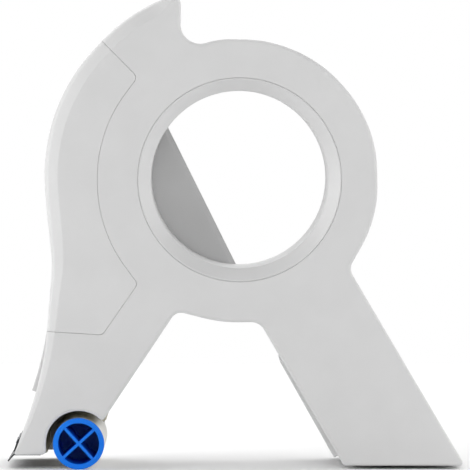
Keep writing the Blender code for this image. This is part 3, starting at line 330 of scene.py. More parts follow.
def fillet(corners, step=ARC_STEP):
    """Round every corner of a closed outline.

    A fillet starts radius times the tangent of half its turn before the corner and sweeps that
    turn about its centre. Returns the places, the bends (negative where hollow), the ways into
    the outline and the corner each point belongs to.
    """
    place = np.array([c[:2] for c in corners], float)
    side = np.roll(place, -1, axis=0) - place
    length = np.hypot(side[:, 0], side[:, 1])
    way = side / length[:, None]
    came = np.roll(way, 1, axis=0)
    turn = np.arctan2(came[:, 0] * way[:, 1] - came[:, 1] * way[:, 0], (came * way).sum(axis=1))
    half = np.abs(np.tan(turn / 2))
    given = np.array([np.nan if c[2] is None else c[2] for c in corners], float) * half
    last_given, next_given, last_length = np.roll(given, 1), np.roll(given, -1), np.roll(length, 1)
    before = np.where(np.isnan(last_given), last_length / 2, last_length - last_given)
    after = np.where(np.isnan(next_given), length / 2, length - next_given)
    reach = np.where(np.isnan(given), np.minimum(before, after), given)
    radius = reach / half
    start = place - came * reach[:, None]
    centre = start + np.stack((-came[:, 1], came[:, 0]), -1) * (np.sign(turn) * radius)[:, None]
    parts = []
    for i, swing in enumerate(turn):
        angle = np.linspace(0.0, swing, max(2, math.ceil(abs(swing) / step)) + 1)
        spoke = start[i] - centre[i]
        spokes = np.stack((spoke[0] * np.cos(angle) - spoke[1] * np.sin(angle),
                           spoke[0] * np.sin(angle) + spoke[1] * np.cos(angle)), -1)
        bend = math.copysign(radius[i], -swing)
        parts.append(np.column_stack((centre[i] + spokes, np.full(len(angle), bend), -spokes / bend,
                                      np.full(len(angle), i))))
    rows = np.vstack(parts)
    gap = np.hypot(*(rows[:, :2] - np.roll(rows[:, :2], 1, axis=0)).T)
    rows = rows[gap > SAME_PLACE]
    return rows[:, :2], rows[:, 2], rows[:, 3:5], rows[:, 5].astype(int)


def rounded(corners, step=ARC_STEP):
    """Return only the places of a rounded outline."""
    return fillet(corners, step)[0]


def inset(corners, depths):
    """Move each side of a clockwise outline inwards by its own depth and keep fillets concentric.

    Where two sides run nearly straight on, the first one keeps its depth up to their corner.
    """
    place = np.array([c[:2] for c in corners], float)
    side = np.roll(place, -1, axis=0) - place
    way = side / np.hypot(side[:, 0], side[:, 1])[:, None]
    inward = np.stack((way[:, 1], -way[:, 0]), -1)
    depths = np.asarray(depths, float)
    start = place + inward * depths[:, None]
    came = np.roll(way, 1, axis=0)
    before = np.roll(start, 1, axis=0)
    cross = came[:, 0] * way[:, 1] - came[:, 1] * way[:, 0]
    apart = start - before
    along = (apart[:, 0] * way[:, 1] - apart[:, 1] * way[:, 0]) / cross
    middle = (inward + np.roll(inward, 1, axis=0)) / (1 + (came * way).sum(axis=1))[:, None]
    straight = place + middle * np.roll(depths, 1)[:, None]
    nearly = (np.abs(cross) < STRAIGHT_share)[:, None]
    moved = np.where(nearly, straight, before + came * along[:, None])
    found = []
    for corner, new_place, crossing, depth in zip(corners, moved, cross, depths):
        radius = corner[2]
        if radius is not None:
            radius = max(radius + math.copysign(depth, crossing), INNER_EDGE_R)
        found.append((*new_place, radius))
    return found


def front_corners():
    """Return the corners of the front edge, from the cutting tip up to the horn."""
    return [(NOSE_X, NOSE_Z, NOSE_R), (*NECK, None), *[spot(s) for s in FRONT_shares],
            spot(HORN_TIP_share, HORN_R)]


def leg_corners():
    """Return the corners from the toe round the foot and the arch to the top of the arm."""
    return [(HUB_X + TOE_X, FOOT_Z, TOE_R), (HUB_X + HEEL_X, FOOT_Z, HEEL_R),
            spot(ARCH_LEG_share, ARCH_LEG_R), *[spot(s) for s in ARCH_shares],
            spot(ARCH_ARM_share, ARCH_ARM_R)]


def arm_end():
    """Return the arm's lower corner, on the line that leaves the roller arch."""
    x, z = round_to(AXIS, ARCH_R, ARCH_END_ANGLE)
    return x + ARCH_TAIL * math.sin(ARCH_END_ANGLE), z - ARCH_TAIL * math.cos(ARCH_END_ANGLE)


def arch_corners():
    """Return the corners from the arm's end round the roller arch to the back of the nose."""
    half = (math.pi + ARCH_END_ANGLE) / 2
    return [(*arm_end(), ARM_END_R), arc_corner(AXIS, ARCH_R, ARCH_END_ANGLE, half),
            arc_corner(AXIS, ARCH_R, half, math.pi), (AXIS[0] - ARCH_R, NOSE_Z, NOSE_BACK_R)]


def near_corners():
    """Return the near side's outline."""
    return [spot(HORN_ROOT_share, HORN_ROOT_R), *[spot(s) for s in BOWL_shares],
            spot(LEG_ROOT_share, LEG_ROOT_R), *leg_corners(), *arch_corners(), *front_corners()]


def far_top():
    """Return the far side's corners from the horn down its slanted edge and leg to the arm."""
    root = at(LEG_ROOT_share)
    toe = np.array((HUB_X + TOE_X, FOOT_Z))
    return [spot(HORN_FOOT_share, HORN_FOOT_R), spot(SLANT_TOP_share, SLANT_TOP_R),
            spot(SLANT_END_share, SLANT_END_R), (*(root + (toe - root) * LEG_TOP_share), LEG_TOP_R),
            *leg_corners()]


def far_corners():
    """Return the far side's outline with the lug that carries the roller."""
    x, z = AXIS
    return [*far_top(), (*arm_end(), ARM_END_R), (x + LUG_BACK, z - LUG_DROP, LUG_BACK_R),
            (x - LUG_FRONT, z - LUG_DROP, LUG_FRONT_R), (x - LUG_FRONT, NOSE_Z, LUG_FRONT_R),
            *front_corners()]


def grip_corners():
    """Return a block's outline whose front edge is the tool's."""
    return [(HUB_X, at(HORN_TIP_share)[1], EDGE_R), (HUB_X, NOSE_Z, EDGE_R), *front_corners()]


def wall_depths(count):
    """Return each side's wall depth for an outline of so many corners that ends with the front."""
    arch = [WALL_T + HOOD_T + GAP] * (len(arch_corners()) - 1)
    front = [FRONT_T] * (len(front_corners()) - 2)
    plain = [WALL_T] * (count - len(arch_corners()) - len(front_corners()))
    return plain + arch + [NOSE_FLOOR_T, NOSE_WALL_T] + front + [WALL_T]


def front_wish(z):
    """Return the front edge's rounding at a height: small at the tip and full at the grip."""
    top = HUB_Z + FRONT_FULL_share * BOWL_R
    share = np.clip((z - NOSE_Z) / (top - NOSE_Z), 0.0, 1.0)
    return FRONT_TIP_R + (FRONT_R - FRONT_TIP_R) * share ** FRONT_POWER


def edge_rounding(outline, front_from, skin=0.0):
    """Return each point's edge radius.

    It is the least, over all points of the outline, of that point's own limit plus the slope
    times the way along the outline to it.
    """
    place, bend, _, number = outline
    wish = np.where(number >= front_from, front_wish(place[:, 1]), EDGE_R)
    wish = np.maximum(wish - skin, INNER_EDGE_R)
    limit = np.where(bend > 0, np.minimum(wish, ROUND_FIT * bend), wish)
    step = np.hypot(*(np.roll(place, -1, axis=0) - place).T)
    run = np.concatenate(([0.0], np.cumsum(step)[:-1]))
    away = np.abs(run[:, None] - run[None, :])
    away = np.minimum(away, step.sum() - away)
    return (limit[None, :] + ROUND_SLOPE * away).min(axis=1)


# Meshes

def new_piece(name, points, faces):
    """Put points and faces into a new object at the origin, faces turned outwards."""
    mesh = bpy.data.meshes.new(name)
    mesh.from_pydata(points.reshape(-1, 3).tolist(), [], faces)
    made = bpy.data.objects.new(name, mesh)
    bpy.context.scene.collection.objects.link(made)
    bm = bmesh.new()
    bm.from_mesh(mesh)
    bmesh.ops.recalc_face_normals(bm, faces=bm.faces)
    bm.to_mesh(mesh)
    bm.free()
    return made


def grid_faces(rows, columns, wrap_rows=False):
    """Return the quads between the neighbouring rows of a grid whose columns run round a ring."""
    index = np.arange(rows * columns).reshape(rows, columns)
    if wrap_rows:
        index = np.vstack((index, index[:1]))
    ahead = np.roll(index, -1, axis=1)
    quads = np.stack((index[:-1], ahead[:-1], ahead[1:], index[1:]), -1)
    return quads.reshape(-1, 4).tolist()


def ringed(name, rings, closed=False):
    """Skin rings of equal count; the end rings are capped, or joined to each other when closed."""
    rings = np.asarray(rings, float)
    faces = grid_faces(*rings.shape[:2], wrap_rows=closed)
    if not closed:
        count = rings.shape[1]
        faces.append(list(range(count)))
        faces.append(list(range((len(rings) - 1) * count, len(rings) * count)))
    return new_piece(name, rings, faces)


def slab(name, outline, y_low, y_high):
    """Carry an XZ outline straight along Y."""
    outline = np.asarray(outline, float)
    rings = np.empty((2, len(outline), 3))
    rings[:, :, 0] = outline[:, 0]
    rings[:, :, 2] = outline[:, 1]
    rings[:, :, 1] = np.array((y_low, y_high))[:, None]
    return ringed(name, rings)


def bar(name, centre, radius, y_low, y_high, steps=ROUND_STEPS):
    """Make a round bar along Y."""
    return slab(name, circle(centre, radius, steps), y_low, y_high)


def turned(name, profile, centre, steps=ROUND_STEPS, closed=True):
    """Turn a profile of radius and Y about an axis along Y."""
    profile = np.asarray(profile, float)
    angle = np.arange(steps) * TURN / steps
    rings = np.empty((len(profile), steps, 3))
    rings[:, :, 0] = centre[0] + profile[:, :1] * np.cos(angle)
    rings[:, :, 1] = profile[:, 1:2]
    rings[:, :, 2] = centre[1] + profile[:, :1] * np.sin(angle)
    return ringed(name, rings, closed)


def stepped(name, centre, radii, heights):
    """Make a bar along Y that keeps each radius from one height to the next."""
    profile = [(radius, y) for i, radius in enumerate(radii) for y in heights[i:i + 2]]
    return turned(name, profile, centre, SMALL_STEPS, closed=False)


def sector(centre, radii, start, end):
    """Return the outline of a ring's sector between two radii and two angles."""
    return np.vstack((arc(centre, radii[0], start, end), arc(centre, radii[1], end, start)))


def plate(name, corners, y_faces, skin=0.0):
    """Loft a plate-like body with rounded outer edges.

    The edge is a flat slope and a soft round. The slope takes BEVEL_share of the radius and falls
    by that times the tangent of its turn. On the round, ring bend b lies soft times one minus the
    sine of b in from the outline, and its way back grows with minus the cosine of b. y_faces holds
    the rounded face first; a body that spans most of the tool's width is rounded at both faces.
    """
    outline = fillet(corners)
    radius = edge_rounding(outline, len(corners) - len(front_corners()), skin)
    place, _, inward, _ = outline
    y_face, y_end = y_faces
    side = math.copysign(1.0, y_end - y_face)
    bend = np.linspace(BEVEL_TURN, math.pi / 2, ROUND_RINGS)
    soft = (1.0 - BEVEL_share) / (1.0 - math.sin(BEVEL_TURN))
    inner = np.concatenate(((1.0,), soft * (1.0 - np.sin(bend))))[:, None]
    fall = BEVEL_share * math.tan(BEVEL_TURN) + soft * (math.cos(BEVEL_TURN) - np.cos(bend))
    back = np.concatenate(((0.0,), fall))[:, None]
    depth = radius[None, :] * inner
    rings = np.empty((ROUND_RINGS + 1, len(place), 3))
    rings[:, :, 0] = place[:, 0] + inward[:, 0] * depth
    rings[:, :, 2] = place[:, 1] + inward[:, 1] * depth
    rings[:, :, 1] = y_face + side * radius[None, :] * back
    if abs(y_end - y_face) > HALF_W:
        mirrored = rings[::-1].copy()
        mirrored[:, :, 1] = y_face + y_end - mirrored[:, :, 1]
        return ringed(name, np.concatenate((rings, mirrored)))
    last = rings[-1:].copy()
    last[:, :, 1] = y_end
    return ringed(name, np.concatenate((rings, last)))


def finish_mesh(target):
    """Weld a piece, shade it smooth apart from its sharp edges, and keep its flat faces flat."""
    bm = bmesh.new()
    bm.from_mesh(target.data)
    bmesh.ops.remove_doubles(bm, verts=bm.verts, dist=WELD)
    bm.to_mesh(target.data)
    bm.free()
    target.data.shade_smooth()
    target.data.set_sharp_from_angle(angle=SHARP_TURN)
    even = target.modifiers.new("Even", "WEIGHTED_NORMAL")
    even.keep_sharp = True
    even.weight = 100
    return target


def work(target, *steps):
    """Take away or add bodies in order and keep the result as the target's own mesh."""
    for operation, others in steps:
        for other in others:
            made = target.modifiers.new(other.name, "BOOLEAN")
            made.solver = "EXACT"
            made.operation = operation
            made.object = other
    graph = bpy.context.evaluated_depsgraph_get()
    mesh = bpy.data.meshes.new_from_object(target.evaluated_get(graph))
    target.modifiers.clear()
    old = target.data
    target.data = mesh
    bpy.data.meshes.remove(old)
    for _, others in steps:
        for other in others:
            spent = other.data
            bpy.data.objects.remove(other)
            bpy.data.meshes.remove(spent)
    return target


def soften(target, width):
    """Round a body's sharp edges to a width."""
    soft = target.modifiers.new("Edge", "BEVEL")
    soft.width = width
    soft.segments = SOFT_SEGMENTS
    soft.limit_method = "ANGLE"
    return work(target)


# Shells

def stretch(start, end, shares):
    """Return the places at two shares of a line, and the line's way."""
    start, end = np.array(start[:2]), np.array(end[:2])
    low, high = [start + (end - start) * share for share in shares]
    return low, high, heading(start, end)


def band(start, end, shares, half):
    """Return a four-sided outline along a line between two shares of it."""
    low, high, way = stretch(start, end, shares)
    left = np.array((-way[1], way[0])) * half
    return np.array((low + left, high + left, high - left, low - left))


def half_band(start, end, shares, depth):
    """Return a four-sided outline that lies on the right of a line between two shares of it."""
    low, high, way = stretch(start, end, shares)
    right = np.array((way[1], -way[0])) * depth
    return np.array((low, high, high + right, low + right))


def shell_hollows(corners, side):
    """Return the room inside a shell, its open mouths and the roller's chamber."""
    floor = side * (HALF_W - PLATE_T)
    beyond = -side * OVERRUN
    inner = rounded(inset(corners, wall_depths(len(corners))))
    return [slab("hollow", inner, floor, beyond),
            slab("mouth", sector(HUB, (BOWL_R - MOUTH_IN, BOWL_R + MOUTH_OUT), MOUTH_START,
                                 MOUTH_END), floor, beyond),
            slab("arm_mouth", band(spot(ARCH_ARM_share), arm_end(), ARM_MOUTH_shares,
                                   ARM_MOUTH_W / 2), floor, beyond),
            bar("chamber", AXIS, ARCH_R + HOOD_T + GAP, floor, beyond)]


def shell_walls(side, pocket_start):
    """Return the walls that guide the roll, and the screw bosses."""
    floor = side * (HALF_W - PLATE_T / 2)
    split = side * GAP / 2
    foot = AXIS[1] + (ARCH_R + HOOD_T + GAP) * POCKET_DROP_share
    pocket = np.vstack((arc(HUB, POCKET_R, pocket_start, math.pi),
                        ((HUB_X - POCKET_R, foot), (HUB_X - POCKET_R - POCKET_T, foot)),
                        arc(HUB, POCKET_R + POCKET_T, math.pi, pocket_start)))
    leg = sector(HUB, (LEG_WALL_R, LEG_WALL_R + POCKET_T), LEG_WALL_START, LEG_WALL_END)
    walls = [slab("pocket_wall", pocket, floor, split), slab("leg_wall", leg, floor, split)]
    walls += [bar(f"boss_{i}", at(share), BOSS_R, floor, split, SMALL_STEPS)
              for i, share in enumerate(BOSS_shares)]
    return walls


def seam_outline(gap):
    """Return the cover's outline: slanted ends and an arc over the pocket wall, grown by a gap."""
    top, high, low, foot, front = [at(s) for s in SEAM_shares]
    bulge = [arc_corner(HUB, POCKET_R, math.pi - SEAM_HALF_SPAN, math.pi),
             arc_corner(HUB, POCKET_R, math.pi, math.pi + SEAM_HALF_SPAN)]
    corners = [(*top, SEAM_CORNER_R), (*high, SEAM_CORNER_R), *bulge, (*low, SEAM_CORNER_R),
               (*foot, SEAM_CORNER_R), (*front, SEAM_CORNER_R)]
    return rounded(inset(corners, [-gap] * len(corners)))


def tongue_outline(gap):
    """Return the tongue's side view: it follows the front edge and thickens downwards."""
    place = rounded(near_corners())
    left = place[place[:, 0] < HUB_X - POCKET_R]
    left = left[np.argsort(left[:, 1])]
    top = at((0.0, TONGUE_TOP_share))[1] + gap
    end = NECK[1] + TONGUE_END - gap
    z = np.linspace(end, top, TONGUE_STEPS)
    run = np.stack((np.interp(z, left[:, 1], left[:, 0]), z), -1)
    way = np.gradient(run, axis=0)
    way /= np.hypot(way[:, 0], way[:, 1])[:, None]
    out = np.stack((-way[:, 1], way[:, 0]), -1)
    share = ((top - z) / (top - end))[:, None]
    face, back = run + out * (TONGUE_OUT * share + gap), run - out * (TONGUE_IN + gap)
    return np.vstack((face, back[::-1]))


def strip_outline(gap):
    """Return the side view of the strip on the leg's front face."""
    heel = np.array((HUB_X + HEEL_X, FOOT_Z))
    top = at(ARCH_LEG_share)
    length = np.hypot(*(heel - top))
    way = (heel - top) / length
    out = np.array((way[1], -way[0]))
    high = top + way * (length * STRIP_shares[0] - gap)
    low = top + way * (length * STRIP_shares[1] + gap)
    return np.array((high + out * (STRIP_TOP + gap), low + out * (STRIP_FOOT + gap),
                     low - out * (STRIP_IN + gap), high - out * (STRIP_IN + gap)))


def grip_core(depth):
    """Return the grip's block, set in by a depth from its sides and its front edge."""
    corners = grip_corners()
    inner = inset(corners, [depth] * len(corners))
    return plate("core", inner, (-HALF_W + depth, HALF_W - depth), depth)


def seats():
    """Return the rooms for the grip cover, its tongue and the leg strip."""
    core = grip_core(COVER_T + SHOWN_GAP)
    reach = HALF_W + OVERRUN
    room = work(slab("room", seam_outline(SHOWN_GAP), -reach, reach), ("DIFFERENCE", [core]))
    tongue, strip = TONGUE_W / 2 + SHOWN_GAP, STRIP_W / 2 + SHOWN_GAP
    return [room, slab("channel", tongue_outline(SHOWN_GAP), -tongue, tongue),
            slab("slot", strip_outline(SHOWN_GAP), -strip, strip)]


def edge_slope(start, end):
    """Return the wedge that slopes a plate's edge on the side that the roll lies on.

    Its section is a triangle that starts EDGE_SLOPE_W in from the edge and falls by EDGE_SLOPE_D
    up to the edge. It is carried on by half its width past the edge and by its width past both
    ends.
    """
    start, end = np.array(start[:2]), np.array(end[:2])
    way = heading(start, end)
    out = np.array((-way[1], way[0]))
    low, high = start - way * EDGE_SLOPE_W, end + way * EDGE_SLOPE_W
    face = HALF_W - PLATE_T
    section = ((-EDGE_SLOPE_W, face), (EDGE_SLOPE_W / 2, face + EDGE_SLOPE_D * 1.5),
               (EDGE_SLOPE_W / 2, face - OVERRUN), (-EDGE_SLOPE_W, face - OVERRUN))
    rings = np.array([[(*(place + out * u), y) for u, y in section] for place in (low, high)])
    return ringed("edge_slope", rings[:, :, (0, 2, 1)])


def near_shell():
    """Make the near side: the full R with its plate, its walls and the round seat of the hub."""
    corners = near_corners()
    seat = FUNNEL_R + SHOWN_GAP
    root = -HALF_W + PLATE_T / 2
    lip = -HALF_W + BEZEL_D + GAP
    beyond = -HALF_W - OVERRUN
    collar = bar("collar", HUB, seat + COLLAR_T, root, lip + COLLAR_LIP_T)
    slant_end, leg_top = far_top()[2:4]
    lid = slab("leg_lid", half_band(slant_end, leg_top, LEG_LID_shares, WALL_T), root, -GAP / 2)
    holes = [bar("hub_seat", HUB, seat, beyond, lip),
             bar("hub_hole", HUB, FUNNEL_R - BEZEL_WALL + GAP, beyond, OVERRUN)]
    holes += [bar(f"pilot_{i}", at(share), SHANK_R + PILOT_PLAY, -SCREW_BITE - GAP, OVERRUN,
                  SMALL_STEPS) for i, share in enumerate(BOSS_shares)]
    shell = work(plate("near_side_shell", corners, (-HALF_W, -GAP / 2)),
                 ("DIFFERENCE", shell_hollows(corners, -1)),
                 ("UNION", shell_walls(-1, POCKET_NEAR_ANGLE) + [lid, collar]),
                 ("DIFFERENCE", holes + seats()))
    return finish_mesh(shell)


def far_holes():
    """Return the far side's holes: the axle's seat and screw, and the wells of the shell screws."""
    beyond = HALF_W + OVERRUN
    radii = (AXLE_SEAT_R + SEAT_PLAY, AXLE_SCREW_R + GAP, AXLE_HEAD_R + GAP)
    heights = (0.0, HALF_W - PLATE_T + AXLE_SEAT_D, HALF_W - AXLE_HEAD_SINK, beyond)
    holes = [stepped("axle_hole", AXIS, radii, heights)]
    radii, heights = (SHANK_R + GAP, HEAD_R + GAP), (-OVERRUN, HALF_W - HEAD_SINK, beyond)
    holes += [stepped(f"screw_hole_{i}", at(share), radii, heights)
              for i, share in enumerate(BOSS_shares)]
    return holes


def far_shell():
    """Make the far side: the cheek with the slanted edge, the leg and the roller's lug."""
    face = HALF_W - PLATE_T
    low_x = AXIS[0] - LUG_FRONT - OVERRUN
    under = ((low_x, NOSE_Z), (AXIS[0], NOSE_Z), (AXIS[0], -OVERRUN), (low_x, -OVERRUN))
    room = [bar("roll_room", HUB, LEG_WALL_R, face, -OVERRUN),
            slab("nose_room", under, -OVERRUN, face), edge_slope(*far_top()[1:3])]
    holes = far_holes()
    inside = [*far_top(), *arch_corners(), *front_corners()]
    shell = work(plate("far_side_shell", far_corners(), (HALF_W, GAP / 2)),
                 ("DIFFERENCE", shell_hollows(inside, 1) + room),
                 ("UNION", shell_walls(1, POCKET_FAR_ANGLE)),
                 ("DIFFERENCE", holes + seats()))
    return finish_mesh(shell)


def grip_cover():
    """Make the cover that wraps the grip, with the tongue down its front."""
    reach = HALF_W + OVERRUN
    core = grip_core(COVER_T)
    tongue = soften(slab("tongue", tongue_outline(0.0), -TONGUE_W / 2, TONGUE_W / 2), TONGUE_SOFT)
    cover = work(plate("grip_cover_skin", grip_corners(), (-HALF_W, HALF_W)),
                 ("INTERSECT", [slab("bounds", seam_outline(0.0), -reach, reach)]),
                 ("DIFFERENCE", [core]), ("UNION", [tongue]))
    return finish_mesh(cover)


def leg_strip():
    """Make the strip on the front of the leg, its edges softened all round."""
    strip = slab("leg_strip", strip_outline(0.0), -STRIP_W / 2, STRIP_W / 2)
    return finish_mesh(soften(strip, SMALL_EDGE * 2))


# Hub

def hub_funnel():
    """Make the funnel ring: a lip, a cone down to the bore and a wall behind it."""
    recess = FUNNEL_R - BEZEL_WALL
    groove = recess + RING_GROOVE
    step = FUNNEL_D + FUNNEL_BACK
    ring_top = step + TUBE_PLAY + TUBE_FLANGE_T + TUBE_PLAY
    ring_end = ring_top + RING_T + 2 * RING_PLAY
    small, least = SMALL_EDGE / 2, SMALL_EDGE / 4
    corners = ((FUNNEL_R - FUNNEL_LIP, 0.0, small), (FUNNEL_R, 0.0, small),
               (FUNNEL_R, BEZEL_D, small), (recess, BEZEL_D, small), (recess, ring_end, least),
               (groove, ring_end, least), (groove, ring_top, least), (recess, ring_top, least),
               (recess, step, least), (BORE_R, step, least), (BORE_R, FUNNEL_D, small))
    profile = rounded(corners, PROFILE_STEP)
    profile[:, 1] -= HALF_W
    return finish_mesh(turned("hub_funnel", profile, HUB))


def core_tube():
    """Make the tube that the tape core turns on, with its flange and six grip ribs."""
    near = -HALF_W + FUNNEL_D + FUNNEL_BACK + TUBE_PLAY
    far = HALF_W - PLATE_T - TUBE_FAR_GAP
    flange = FUNNEL_R - BEZEL_WALL - TUBE_GAP
    bore = BORE_R + TUBE_STEP
    small = SMALL_EDGE
    corners = ((flange, near, small), (flange, near + TUBE_FLANGE_T, small),
               (TUBE_R, near + TUBE_FLANGE_T, small), (TUBE_R, far - TUBE_LEAD, small),
               (TUBE_R - TUBE_LEAD / 2, far, small), (bore, far, small), (bore, near, small / 2))
    tube = turned("core_tube", rounded(corners, PROFILE_STEP), HUB)
    ribs = []
    for i in range(RIB_COUNT):
        angle = TURN * (i + 0.5) / RIB_COUNT
        outline = band(round_to(HUB, TUBE_R - RIB_H, angle), round_to(HUB, TUBE_R + RIB_H, angle),
                       (0.0, 1.0), RIB_W / 2)
        ribs.append(slab(f"rib_{i}", outline, near + (far - near) * RIB_shares[0],
                         near + (far - near) * RIB_shares[1]))
    return finish_mesh(work(tube, ("UNION", ribs)))


# Press roller

def roller_body():
    """Make the blue roller: a rim, a drum closed halfway, crossed webs and an unbored hub."""
    near = -HALF_W + ROLLER_NEAR_SET
    far = HALF_W - PLATE_T - ROLLER_FAR_GAP
    drum = ROLLER_R - SLEEVE_T
    bore = ROLLER_R - RIM_T
    small = SMALL_EDGE
    step = near + RIM_D
    corners = ((ROLLER_R, near, small), (ROLLER_R, step, small / 2), (drum, step, small / 2),
               (drum, far, small), (bore, far, small), (bore, near, small))
    core = turned("roller_body", rounded(corners, PROFILE_STEP), AXIS)
    webs = []
    reach = (drum + bore) / 2
    for i in range(2):
        angle = (i + 0.5) * math.pi / 2 + WEB_TURN
        web = band(round_to(AXIS, -reach, angle), round_to(AXIS, reach, angle), (0.0, 1.0),
                   WEB_T / 2)
        webs.append(slab(f"web_{i}", web, near + WEB_SET, far - WEB_SET))
    hub_near = near + (far - near) * CAP_share
    wall = hub_near + WEB_SET
    inner = [bar("drum_wall", AXIS, reach, wall, wall + DRUM_WALL_T),
             bar("cap", AXIS, CAP_R, hub_near, far - WEB_SET)]
    return finish_mesh(work(core, ("UNION", webs + inner)))


def roller_tyre():
    """Make the rubber sleeve that presses the tape down."""
    near = -HALF_W + ROLLER_NEAR_SET + RIM_D + SLEEVE_PLAY
    far = HALF_W - PLATE_T - ROLLER_FAR_GAP
    seat = ROLLER_R - SLEEVE_T + SLEEVE_PLAY
    small = SMALL_EDGE
    corners = ((ROLLER_R, near, small), (ROLLER_R, far, small), (seat, far, small),
               (seat, near, small))
    return finish_mesh(turned("roller_tyre", rounded(corners, PROFILE_STEP), AXIS))


def roller_hood():
    """Make the hood that closes the roller's chamber."""
    reach = HALF_W - PLATE_T - GAP
    section = sector(AXIS, (ARCH_R, ARCH_R + HOOD_T), HOOD_START, HOOD_END)
    return finish_mesh(slab("chamber_hood", section, -reach, reach))


# Blade, clip and screws

def nose_line():
    """Return the nose's lowest front point, the way up its front face and the way out of it."""
    low, high = [np.array(c[:2]) for c in front_corners()[:2]]
    up = heading(low, high)
    return low, up, np.array((-up[1], up[0]))


def toothed_blade():
    """Carry the blade's bent section along Y; its tip rises and falls in a triangle wave."""
    top = NOSE_Z - BLADE_SEAT
    low = top - SHEET_T
    back = NOSE_X + BLADE_BACK
    bend = np.array((NOSE_X - BLADE_OUT, low))
    tip = np.array((NOSE_X - TOOTH_OUT, NOSE_Z - TOOTH_DROP))
    way = heading(bend, tip)
    across = np.array((-way[1], way[0])) * -SHEET_T
    teeth = round(BLADE_W / TOOTH_PITCH)
    y = np.linspace(-BLADE_W / 2, BLADE_W / 2, 2 * teeth + 1)
    rise = np.where(np.arange(len(y)) % 2 == 0, 0.0, TOOTH_H)[:, None]
    section = np.empty((len(y), 6, 3))
    section[:, :, 1] = y[:, None]
    fixed = ((back, top), (back, low), tuple(bend))
    for i, (x, z) in enumerate(fixed):
        section[:, i, 0], section[:, i, 2] = x, z
    edge = tip[None, :] - way[None, :] * rise
    section[:, 3, 0], section[:, 3, 2] = edge[:, 0], edge[:, 1]
    section[:, 4, 0], section[:, 4, 2] = (edge + across)[:, 0], (edge + across)[:, 1]
    section[:, 5, 0], section[:, 5, 2] = bend[0] + across[0], top
    return finish_mesh(ringed("toothed_blade", section))


def clip_sheet():
    """Make the straight clip on the front of the nose."""
    low, up, out = nose_line()
    section = rounded([(*(low + up * a + out * b), SMALL_EDGE / 2) for a, b in (
        (CLIP_LOW, CLIP_OFF), (CLIP_LOW, CLIP_OFF + SHEET_T), (CLIP_HIGH, CLIP_OFF + SHEET_T),
        (CLIP_HIGH, CLIP_OFF))], PROFILE_STEP)
    return finish_mesh(slab("front_clip_sheet", section, -CLIP_W / 2, CLIP_W / 2))


def screw(name, foot, out, radii, head_t, length, hex_r, hex_d):
    """Make a screw: a shank, a head with a rounded rim and a six-sided socket.

    Its rings run from the shank's end over the head and down into the socket. Each row holds a
    ring's radius, its height and whether it has six sides: then its radius is multiplied by the
    cosine of 30 degrees over the cosine of the angle from the middle of the nearest flat.
    """
    shank, head = radii
    angle = np.arange(SMALL_STEPS) * TURN / SMALL_STEPS
    flat = math.cos(math.pi / 6) / np.cos((angle + math.pi / 6) % (math.pi / 3) - math.pi / 6)
    soft = head_t / 3
    top = HEAD_PLAY + head_t
    rows = ((shank, -length, 0), (shank, HEAD_PLAY, 0), (head, HEAD_PLAY, 0), (head, top - soft, 0),
            (head - soft / 3, top - soft / 3, 0), (head - soft, top, 0), (hex_r, top, 1),
            (hex_r, top - hex_d, 1))
    radius, height, six_sided = np.array(rows).T[:, :, None]
    radius = radius * np.where(six_sided == 1, flat, 1.0)
    out = np.array(out, float)
    side = np.array((0.0, 1.0, 0.0)) if abs(out[1]) < 0.5 else np.array((1.0, 0.0, 0.0))
    other = np.cross(out, side)
    round_side = (radius * np.cos(angle))[:, :, None]
    round_other = (radius * np.sin(angle))[:, :, None]
    middle = np.array(foot, float) + out * height[:, :, None]
    rings = middle + side * round_side + other * round_other
    return finish_mesh(ringed(name, rings))


def small_screws():
    """Make the four screws of the blade and the clip, heads on their sheets."""
    low, up, out = nose_line()
    blade_x = NOSE_X + BLADE_BACK - (BLADE_BACK + BLADE_OUT) * PIN_BLADE_share
    blade_z = NOSE_Z - BLADE_SEAT - SHEET_T
    clip = low + up * CLIP_PIN + out * (CLIP_OFF + SHEET_T)
    made = []
    for i, side in enumerate((-1, 1)):
        y = side * BLADE_W / 2 * BLADE_PIN_share
        made.append((f"blade_screw_{i + 1}", (blade_x, y, blade_z), (0, 0, -1)))
        y = side * CLIP_W / 2 * CLIP_PIN_share
        made.append((f"clip_screw_{i + 1}", (clip[0], y, clip[1]), (out[0], 0.0, out[1])))
    hex_r, hex_d = PIN_HEAD_R * PIN_HEX_R_share, PIN_HEAD_T * PIN_HEX_D_share
    return [(node, screw(node + "_plated", foot, way, (PIN_R, PIN_HEAD_R), PIN_HEAD_T, PIN_L,
                         hex_r, hex_d)) for node, foot, way in made]


def shell_screws():
    """Make the screws that join the shells, as far as their wells on the far side show them."""
    made = []
    for i, share in enumerate(BOSS_shares):
        x, z = at(share)
        node = f"shell_screw_{i + 1}"
        made.append((node, screw(node + "_plated", (x, HALF_W - HEAD_SINK, z), (0, 1, 0),
                                 (SHANK_R, HEAD_R), HEAD_T, SCREW_L, HEX_R, HEX_D)))
    return made


# Materials

def linear(code):
    """Turn an sRGB hex colour into linear red, green, blue and full alpha."""
    srgb = np.array([int(code[i:i + 2], 16) / 255.0 for i in (1, 3, 5)])
    value = np.where(srgb <= 0.04045, srgb / 12.92, ((srgb + 0.055) / 1.055) ** 2.4)
    return (*value.tolist(), 1.0)


def add(tree, kind, settings=None, links=None):
    """Add a node with its settings; a link's value is another node's output or a plain value."""
    node = tree.nodes.new(kind)
    for key, value in (settings or {}).items():
        setattr(node, key, value)
    for key, value in (links or {}).items():
        if isinstance(value, bpy.types.NodeSocket):
            tree.links.new(value, node.inputs[key])
        else:
            node.inputs[key].default_value = value
    return node


